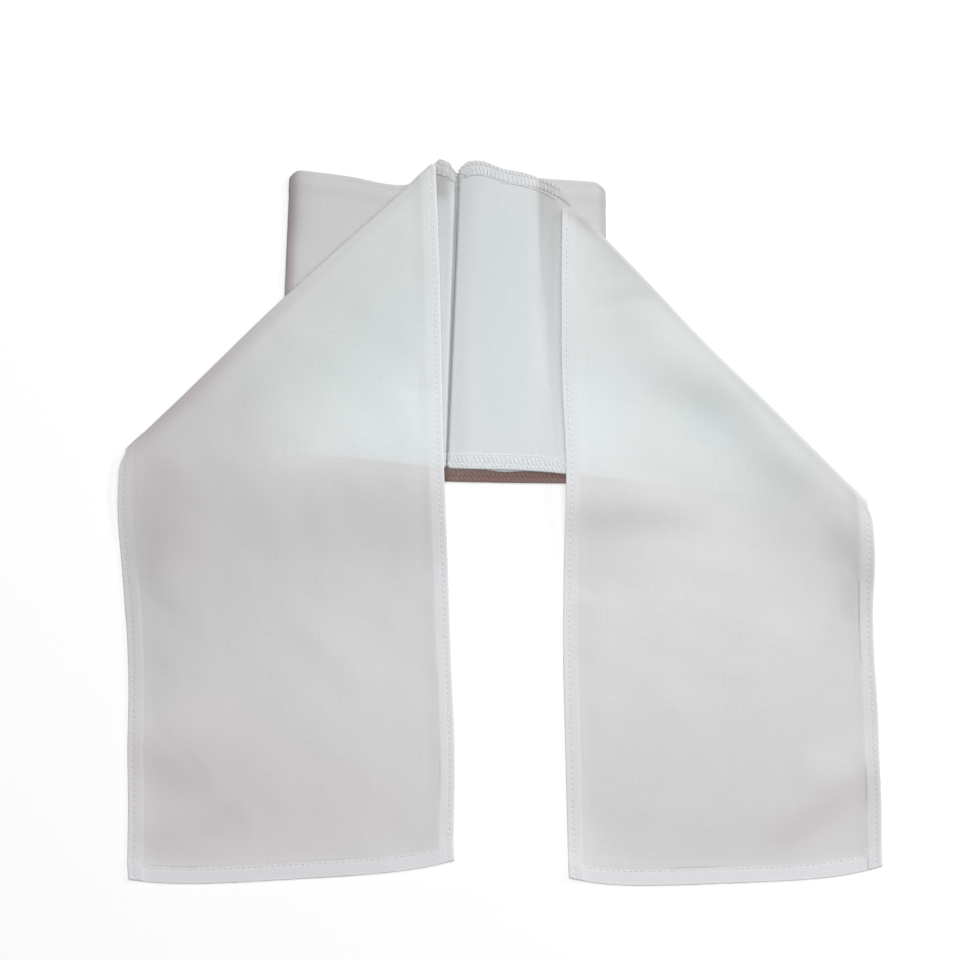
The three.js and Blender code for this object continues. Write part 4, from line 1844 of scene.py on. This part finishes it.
def band_left() -> Stretch:
    """The left band, right side up, with its diagonal fold.

    Returns:
        The stretch.
    """
    return Stretch(
        name="cloth_band_left",
        nodes=("band_left", "band_left_hem_outer", "band_left_hem_inner", "band_left_hem_end"),
        rows=LEFT_BAND,
        bed=on_neck(LEFT_NECK),
        top_face=Face.RIGHT,
        rests_on=("cloth_neck_left",),
        fold=Fold.START,
        corners=(Corner(0.0, LEFT_BAND_CORNER, LEFT_BAND_TIP),),
        hollows=(LEFT_BOW,),
        bare=6.0,
        end_bow=4.3,
        spring=(0.4, 0.6),
        # painted shade over the whole band and along its fold, and a painted highlight on the very edge of
        # its hems
        shade=0.045,
        rim=0.05,
        side_light=0.42,
        edge_light=0.1,
        neck=LEFT_NECK,
        creases=(
            Crease(-146, -110, 40, 13, -36, -0.9),
            Crease(-124, -140, 26, 15, 20, -0.5),
            Crease(-70, -63, 50, 20, -40, 0.4),
            Crease(-154, -20, 34, 12, 84, -0.5),
            Crease(-152, -42, 18, 9, 10, -0.5),
            Crease(-152, -69, 16, 8, -10, -0.4),
            Crease(-112, 62, 90, 24, 38, 0.4),
            Crease(-78, 84, 100, 30, 50, -0.6),
            Crease(-36, 58, 14, 4, 0, -0.4),
        ),
        # Painted shade and painted light for the shading of the band's slopes, creases and fold, with warm
        # tints in its lower left and along its fold.
        tones=(
            Tone(-168, 0, 230, 100, 90, shade=0.11),
            Tone(-148, 2, 56, 34, 90, shade=0.04, warmth=0.14),
            Tone(-155, -18, 30, 12, 90, shade=0.03),
            Tone(-74, 2, 120, 50, 0, shade=0.06),
            Tone(-80, 96, 120, 44, 46, shade=0.02),
            Tone(-68, 80, 100, 56, 36, warmth=-0.16),
            Tone(-144, 49, 60, 12, 44, warmth=0.12),
            Tone(-124, 70, 104, 12, 44, shade=0.055, warmth=0.2),
            Tone(-100, 65, 40, 22, 44, shade=0.035),
            Tone(-34, 151, 20, 10, 90, shade=0.05),
            Tone(-157, 23, 34, 20, 70, shade=-0.03, warmth=0.06),
            Tone(-33, 48, 90, 12, 90, shade=-0.045),
            Tone(-88, 26, 30, 12, 0, shade=-0.03),
            Tone(-142, -92, 44, 26, 0, shade=-0.045),
            Tone(-112, 4, 50, 34, 0, shade=-0.035),
            Tone(-40, -122, 44, 70, 0, shade=-0.03),
            Tone(-95, -30, 150, 56, 0, shade=0.035),
            Tone(-160, -20, 150, 18, 90, shade=0.04),
            Tone(-48, -72, 60, 70, 0, shade=-0.02),
            Tone(-54, 44, 80, 60, 0, shade=-0.035),
            Tone(-130, -60, 200, 90, 90, warmth=0.08),
            Tone(-147, -113, 46, 20, -30, shade=0.06, warmth=0.04),
            Tone(-124, -140, 36, 20, 20, shade=0.045),
            Tone(-150, -146, 22, 14, 0, shade=0.05),
            Tone(-94, -132, 170, 90, 0, shade=0.04, warmth=0.12),
        ),
        contacts=(
            Contact(-30, 80, 200, 64, 80, strength=0.55),
            Contact(-54, 38, 84, 58, 4, strength=0.5),
        ),
        uneven=0.22,
        seed=11,
    )


def band_right() -> Stretch:
    """The right band, right side up, with its puffed diagonal fold and its raised inner edge.

    Returns:
        The stretch.
    """
    return Stretch(
        name="cloth_band_right",
        nodes=("band_right", "band_right_hem_outer", "band_right_hem_inner", "band_right_hem_end"),
        rows=RIGHT_BAND,
        bed=on_neck(RIGHT_NECK),
        top_face=Face.RIGHT,
        rests_on=("cloth_neck_right",),
        fold=Fold.START,
        corners=(Corner(0.0, RIGHT_BAND_CORNER, RIGHT_BAND_TIP),),
        hollows=(
            Hollow(0.0, depth=4.4, place=0.0, width=11.0),
            Hollow(0.0, depth=1.2, place=88.0, width=28.0),
        ),
        bare=9.0,
        end_bow=5.2,
        spring=(1.6, 0.4),
        spring_reach=24.0,
        # painted shade along the fold, and a painted highlight on the very edge of the hems
        rim=0.05,
        side_light=0.34,
        edge_light=0.1,
        neck=RIGHT_NECK,
        creases=(
            Crease(55, 100, 24, 8, 18, -0.7),
            Crease(86, 52, 76, 22, -36, -0.9),
            Crease(52, -6, 60, 16, 2, -1.0),
            Crease(88, -18, 70, 26, -12, 0.6),
            Crease(152, -22, 50, 18, -66, -1.0),
            Crease(148, -106, 34, 14, 20, 0.8),
            Crease(143, -133, 56, 16, 34, -0.8),
            Crease(37, -33, 14, 7, 0, -0.5),
        ),
        # Painted shade and painted light for the shading of the band's slopes, creases and puffed fold, with
        # a few warm and cool tints.
        tones=(
            Tone(55, 101, 24, 9, 18, shade=0.03),
            Tone(80, 59, 58, 22, -14, shade=0.065),
            Tone(104, 34, 70, 44, -44, warmth=-0.14),
            Tone(79, 56, 34, 15, -28, shade=0.035),
            Tone(128, -8, 44, 22, -10, shade=0.035),
            Tone(33.5, 138.6, 22, 6, -40, shade=0.13, warmth=0.1),
            Tone(52, 121, 84, 13, -46, shade=0.07),
            Tone(132, -48, 34, 26, 0, shade=-0.035),
            Tone(98, -148, 60, 24, 0, shade=0.03),
            Tone(44, -155, 30, 10, 0, shade=-0.04),
            Tone(108, 33, 64, 30, -44, shade=0.05),
            Tone(145, -4, 80, 44, -58, shade=0.08),
            Tone(146, -16, 16, 12, -20, shade=0.05),
            Tone(162, -8, 30, 10, 80, shade=-0.06),
            Tone(156, -34, 26, 16, 80, shade=0.06),
            Tone(51, -6, 62, 18, 2, shade=0.06),
            Tone(58, 1, 52, 12, -4, shade=0.045),
            Tone(42, 98, 84, 38, 90, shade=0.065),
            Tone(68, 66, 70, 34, -40, shade=0.03),
            Tone(78, -22, 50, 26, -10, shade=-0.03),
            Tone(152, -32, 60, 26, 84, shade=0.055),
            Tone(146, 20, 64, 20, -46, shade=-0.06),
            Tone(128, -72, 110, 60, 0, shade=0.025),
            Tone(36, -55, 90, 14, 90, shade=0.025),
            Tone(34, -147, 24, 22, 0, shade=-0.05),
            Tone(90, -22, 84, 40, -14, shade=-0.03),
            Tone(152, -109, 40, 16, 12, shade=-0.06),
            Tone(98, -132, 190, 80, 0, shade=0.05, warmth=0.08),
            Tone(141, -134, 60, 18, 34, shade=0.06, warmth=0.1),
            Tone(166, -60, 230, 12, 90, shade=0.08),
        ),
        contacts=(
            Contact(60, 75, 150, 110, -46, strength=0.5),
            Contact(40, 42, 70, 50, 84, strength=0.6),
        ),
        uneven=0.22,
        seed=12,
    )


def neck_left() -> Stretch:
    """The left neck stretch, wrong side up, folded down at the middle of the neck.

    Returns:
        The stretch.
    """
    return Stretch(
        name="cloth_neck_left",
        nodes=("neck_left", "neck_left_hem_bottom", "neck_left_hem_top"),
        rows=LEFT_NECK,
        bed=on_leaves,
        top_face=Face.WRONG,
        rests_on=("cloth_pleat_left",),
        fold=Fold.END,
        face_below=Face.RIGHT,
        corners=(Corner(0.0, LEFT_BAND_CORNER, 0.0), Corner(1.0, NECK_BOTTOM_CORNER, LEFT_NECK_CORNER)),
        hollows=(LEFT_BOW,),
        bare_end=2.0,
        # painted shade over the whole stretch
        shade=0.1,
        creases=(Crease(-24, 149, 16, 10, 20, -0.5),),
        # Painted shade and painted light: the slit's shadow, a darker top, and light streaks along the crest
        # of the fold.
        tones=(
            SLIT,
            Tone(-21.6, 90, 190, 2.4, 88.5, shade=-0.06),
            Tone(-22, 168, 40, 104, 0, shade=0.1),
            Tone(-22, 166, 40, 40, 0, shade=-0.01, warmth=0.1),
            Tone(-26, 154, 14, 9, 90, shade=0.09, warmth=0.16),
            Tone(-21.4, 152, 34, 3, 96, shade=-0.09),
        ),
        uneven=0.06,
        seed=13,
    )


def neck_right() -> Stretch:
    """The right neck stretch, wrong side up, folded down at the middle of the neck.

    Returns:
        The stretch.
    """
    return Stretch(
        name="cloth_neck_right",
        nodes=("neck_right", "neck_right_hem_bottom", "neck_right_hem_top"),
        rows=RIGHT_NECK,
        bed=on_leaves,
        top_face=Face.WRONG,
        rests_on=("cloth_pleat_right",),
        fold=Fold.START,
        face_below=Face.RIGHT,
        square_end=0.0,
        corners=(Corner(0.0, NECK_BOTTOM_CORNER, RIGHT_NECK_CORNER), Corner(1.0, RIGHT_BAND_CORNER, 0.0)),
        hollows=(
            Hollow(1.0, depth=3.6, place=15.0, width=9.0),
            Hollow(1.0, depth=1.2, place=96.0, width=28.0),
            Hollow(1.0, depth=2.0, place=70.0, width=55.0),
        ),
        bare_end=1.2,
        creases=(Crease(4, 92, 180, 34, 92, 0.5),),
        flank=Flank(NECK_TURN, top=28.0, ease=14.0),
        # Painted shade and painted light: the slit's shadow, shade by the fold and on the turn-up under the
        # band, a darker top, and lighter strips by the band's edge and near its tip.
        tones=(
            SLIT,
            Tone(-17, 100, 170, 10, 90, shade=0.02, warmth=0.07),
            Tone(-17.2, 96, 200, 8, 88, shade=0.05),
            Tone(22.0, 62, 62, 6, 97, shade=-0.045),
            Tone(3, 98, 120, 38, 90, warmth=-0.16),
            Tone(24, 110, 160, 16, 90, shade=-0.02, warmth=0.16),
            Tone(18.6, 130, 90, 3.6, 90, shade=0.06),
            Tone(-6, 142, 56, 110, 0, shade=0.065),
            Tone(0, 160, 140, 50, 0, shade=0.01, warmth=0.09),
            Tone(28, 147, 26, 12, -52, warmth=0.08),
            Tone(26.4, 147.6, 9, 1.8, -77, shade=-0.08),
            Tone(22, 152, 20, 10, -50, shade=-0.1),
            Tone(30.2, 147.5, 14, 5, -56, shade=-0.03, warmth=0.06),
            Tone(28, 90, 200, 6, 90, shade=-0.05),
        ),
        row_step=0.7,
        uneven=0.06,
        seed=14,
    )


# Painted shade on the two leaves: the slit's shadow, and dark, warm shade along each leaf's folded edge.
LEFT_LEAF_TONES = (
    WIDE_SLIT,
    Tone(-92.5, 130, 130, 5.5, 88, shade=0.3, warmth=0.4),
    Tone(-89, 147, 36, 10, 88, shade=0.1, warmth=0.05),
)
RIGHT_LEAF_TONES = (WIDE_SLIT, Tone(47, 120, 130, 3, 91, shade=0.12, warmth=0.2))


def pleat_leaf(
    side: str, rows: Sequence[Section], shade: float, tones: Sequence[Tone], seed: int
) -> Stretch:
    """One leaf of the box pleat, right side up, folded down at the pleat's side.

    Args:
        side: Left or right.
        rows: Its sections.
        shade: How much darker it is painted: painted shade.
        tones: Its painted shade.
        seed: Seed of its unevenness.

    Returns:
        The leaf.
    """
    return Stretch(
        name=f"cloth_pleat_{side}",
        nodes=(f"pleat_{side}", f"pleat_{side}_hem_top"),
        rows=rows,
        bed=on_underlay,
        top_face=Face.RIGHT,
        rests_on=("cloth_underlay",),
        fold=Fold.END,
        corners=(Corner(1.0, PLEAT_CORNER, PLEAT_CORNER),),
        bare=6.0,
        faint=True,
        side_light=0.1,
        shade=shade,
        warmth=0.03,
        tones=tones,
        uneven=0.08,
        seed=seed,
    )


def underlay() -> Stretch:
    """The bottom of the box pleat, wrong side up on the table.

    Returns:
        The stretch.
    """
    return Stretch(
        name="cloth_underlay",
        nodes=("underlay", "underlay_hem_bottom"),
        rows=UNDERLAY,
        bed=on_table,
        top_face=Face.WRONG,
        rests_on=("floor",),
        corners=(Corner(0.0, PLEAT_CORNER, PLEAT_CORNER), Corner(1.0, PLEAT_CORNER, PLEAT_CORNER)),
        # Painted shade: the slit's shadow, the bottom hem painted dark brown as it lies in deep shade under
        # the neck, and shade at the top of the slit.
        tones=(
            WIDE_SLIT,
            Tone(4, 19, 130, 16, 0, shade=0.07, warmth=1.0),
            Tone(-18, 152, 50, 14, 90, shade=0.2),
        ),
        uneven=0.03,
        seed=17,
    )


class Stole:
    """The whole folded strip: its stretches of cloth and all its sewing."""

    def __init__(self) -> None:
        """Sets out the stretches, from the bottom of the fold to its top."""
        self.stretches = [
            underlay(),
            # painted shade over each whole leaf
            pleat_leaf("left", LEFT_LEAF, shade=0.145, tones=LEFT_LEAF_TONES, seed=15),
            pleat_leaf("right", RIGHT_LEAF, shade=0.105, tones=RIGHT_LEAF_TONES, seed=16),
            neck_left(),
            neck_right(),
            band_left(),
            band_right(),
        ]

    def build(self) -> list[tuple[bpy.types.Object, list[bpy.types.Object]]]:
        """Returns:
            Each piece of cloth with its pieces of sewing.
        """
        finishes = {
            Face.RIGHT: (RIGHT_SIDE.material(), "cloth"),
            Face.WRONG: (WRONG_SIDE.material(), "cloth_inside"),
        }
        thread = THREAD.material()
        made = []
        for stretch in self.stretches:
            material, slot = finishes[stretch.top_face]
            cloth = stretch.build(material)
            sewn = self.sew(stretch, thread)
            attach(cloth, "root")
            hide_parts(*stretch.nodes)
            for piece in sewn:
                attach(piece, "root")
            made.append((cloth, sewn))
        for stretch, (cloth, sewn) in zip(self.stretches, made):
            width, length, area = stretch.flat_cut()
        return made

    @staticmethod
    def sew(stretch: Stretch, thread: bpy.types.Material) -> list[bpy.types.Object]:
        """Topstitching on the right side of the hems, and overlocking on the wrong side.

        Args:
            stretch: A stretch that is laid out.
            thread: Finish of the thread.

        Returns:
            The two pieces of sewing.
        """
        right_on_top = stretch.top_face is Face.RIGHT
        label = stretch.name.replace("cloth_", "")
        top_lines = [stretch.side_seam(edge, STITCH_LINE, right_on_top) for edge in Edge]
        lock_lines = [stretch.side_seam(edge, STITCH_LINE, not right_on_top) for edge in Edge]
        if stretch.end_bow:
            top_lines.append(stretch.end_seam(END_STITCH_LINE, right_on_top))
            lock_lines.append(stretch.end_seam(END_LOCK_LINE, not right_on_top))
        above, below = (1.0, PRESSED) if right_on_top else (PRESSED, 1.0)
        if stretch.faint:
            above = FAINT
        plain = TOPSTITCH.sew(f"topstitch_{label}", top_lines, thread, above)
        lock = OVERLOCK.sew(f"overlock_{label}", lock_lines, thread, below)
        return [plain, lock]


# ---- Table, light and camera ----


@dataclass(frozen=True)
class Studio:
    """A plain pale table, soft light from the upper right, and the camera.

    Attributes:
        elevation: Angle of the camera above the table, in degrees.
        distance: Distance of the camera, in metres.
        lens: Its focal length, in millimetres.
        aim: Frame point that it looks at, in metres.
        table_size: Width of the table, in metres.
    """

    elevation: float = 73.0
    distance: float = 7.04
    lens: float = 600.0
    aim: tuple[float, float, float] = (-0.0085, 0.0197, 0.0)
    table_size: float = 12.0

    def build(self) -> None:
        """Makes the table, the lights and the camera."""
        self.table()
        self.lights()
        self.camera()
        bpy.context.scene.view_settings.view_transform = "Standard"

    def table(self) -> None:
        """Makes the table top."""
        half = self.table_size / 2
        mesh = bpy.data.meshes.new("floor")
        corners = [(-half, -half, 0.0), (half, -half, 0.0), (half, half, 0.0), (-half, half, 0.0)]
        mesh.from_pydata(corners, [], [(0, 1, 2, 3)])
        material = bpy.data.materials.new("pale table")
        material.use_nodes = True
        shader = material.node_tree.nodes["Principled BSDF"]
        shader.inputs["Base Color"].default_value = colour(254, 254, 254)
        shader.inputs["Roughness"].default_value = 0.9
        shader.inputs["Specular IOR Level"].default_value = 0.1
        mesh.materials.append(material)
        floor = put_in_scene("floor", mesh)

    def lights(self) -> None:
        """Sets the lights at the upper right and overhead, and pale surroundings."""
        self.area("main light", azimuth=45.0, elevation=55.0, away=3.0, size=2.1, power=47.0, shadow=False)
        self.area("edge light", azimuth=30.0, elevation=28.0, away=3.2, size=0.72, power=18.0)
        self.area("overhead light", azimuth=60.0, elevation=86.0, away=3.4, size=3.4, power=54.0)
        world = bpy.data.worlds.new("surroundings")
        world.use_nodes = True
        world.node_tree.nodes["Background"].inputs["Color"].default_value = (0.96, 0.975, 1.0, 1.0)
        world.node_tree.nodes["Background"].inputs["Strength"].default_value = 0.2
        bpy.context.scene.world = world

    @staticmethod
    def area(
        name: str,
        azimuth: float,
        elevation: float,
        away: float,
        size: float,
        power: float,
        shadow: bool = True,
    ) -> None:
        """Makes one soft light that faces the stole.

        Args:
            name: Name of the light.
            azimuth: Where it stands round the stole, in degrees from +X towards +Y.
            elevation: Its angle above the table, in degrees.
            away: Its distance, in metres.
            size: Its width, in metres.
            power: Its power, in watts.
            shadow: Whether it casts shadows. The cloth lets soft light through, so one doesn't.
        """
        data = bpy.data.lights.new(name, "AREA")
        data.shape = "DISK"
        data.size = size
        data.energy = power
        data.use_shadow = shadow
        turn, rise = math.radians(azimuth), math.radians(elevation)
        place = Vector((math.cos(rise) * math.cos(turn), math.cos(rise) * math.sin(turn), math.sin(rise)))
        light = put_in_scene(name, data)
        light.location = place * away
        light.rotation_euler = (-place).to_track_quat("-Z", "Y").to_euler()

    def camera(self) -> None:
        """Makes the camera and aims it."""
        data = bpy.data.cameras.new("camera")
        data.lens = self.lens
        data.clip_end = 100.0
        camera = put_in_scene("camera", data)
        tilt = math.radians(self.elevation)
        back = Vector((0.0, -math.cos(tilt), math.sin(tilt)))
        camera.location = Vector(self.aim) + back * self.distance
        camera.rotation_euler = (-back).to_track_quat("-Z", "Y").to_euler()
        bpy.context.scene.camera = camera


def main() -> None:
    """Builds the stole and its setting, and reports each piece of the stole."""
    logging.basicConfig(level=logging.INFO, format="%(name)s: %(message)s")
    for cloth, sewn in Stole().build():
        counts = ", ".join(f"{piece.name} ({len(piece.data.polygons)})" for piece in sewn)
        LOG.info("%s: %d faces, sewn with %s", cloth.name, len(cloth.data.polygons), counts)
    Studio().build()


if __name__ == "__main__":
    main()
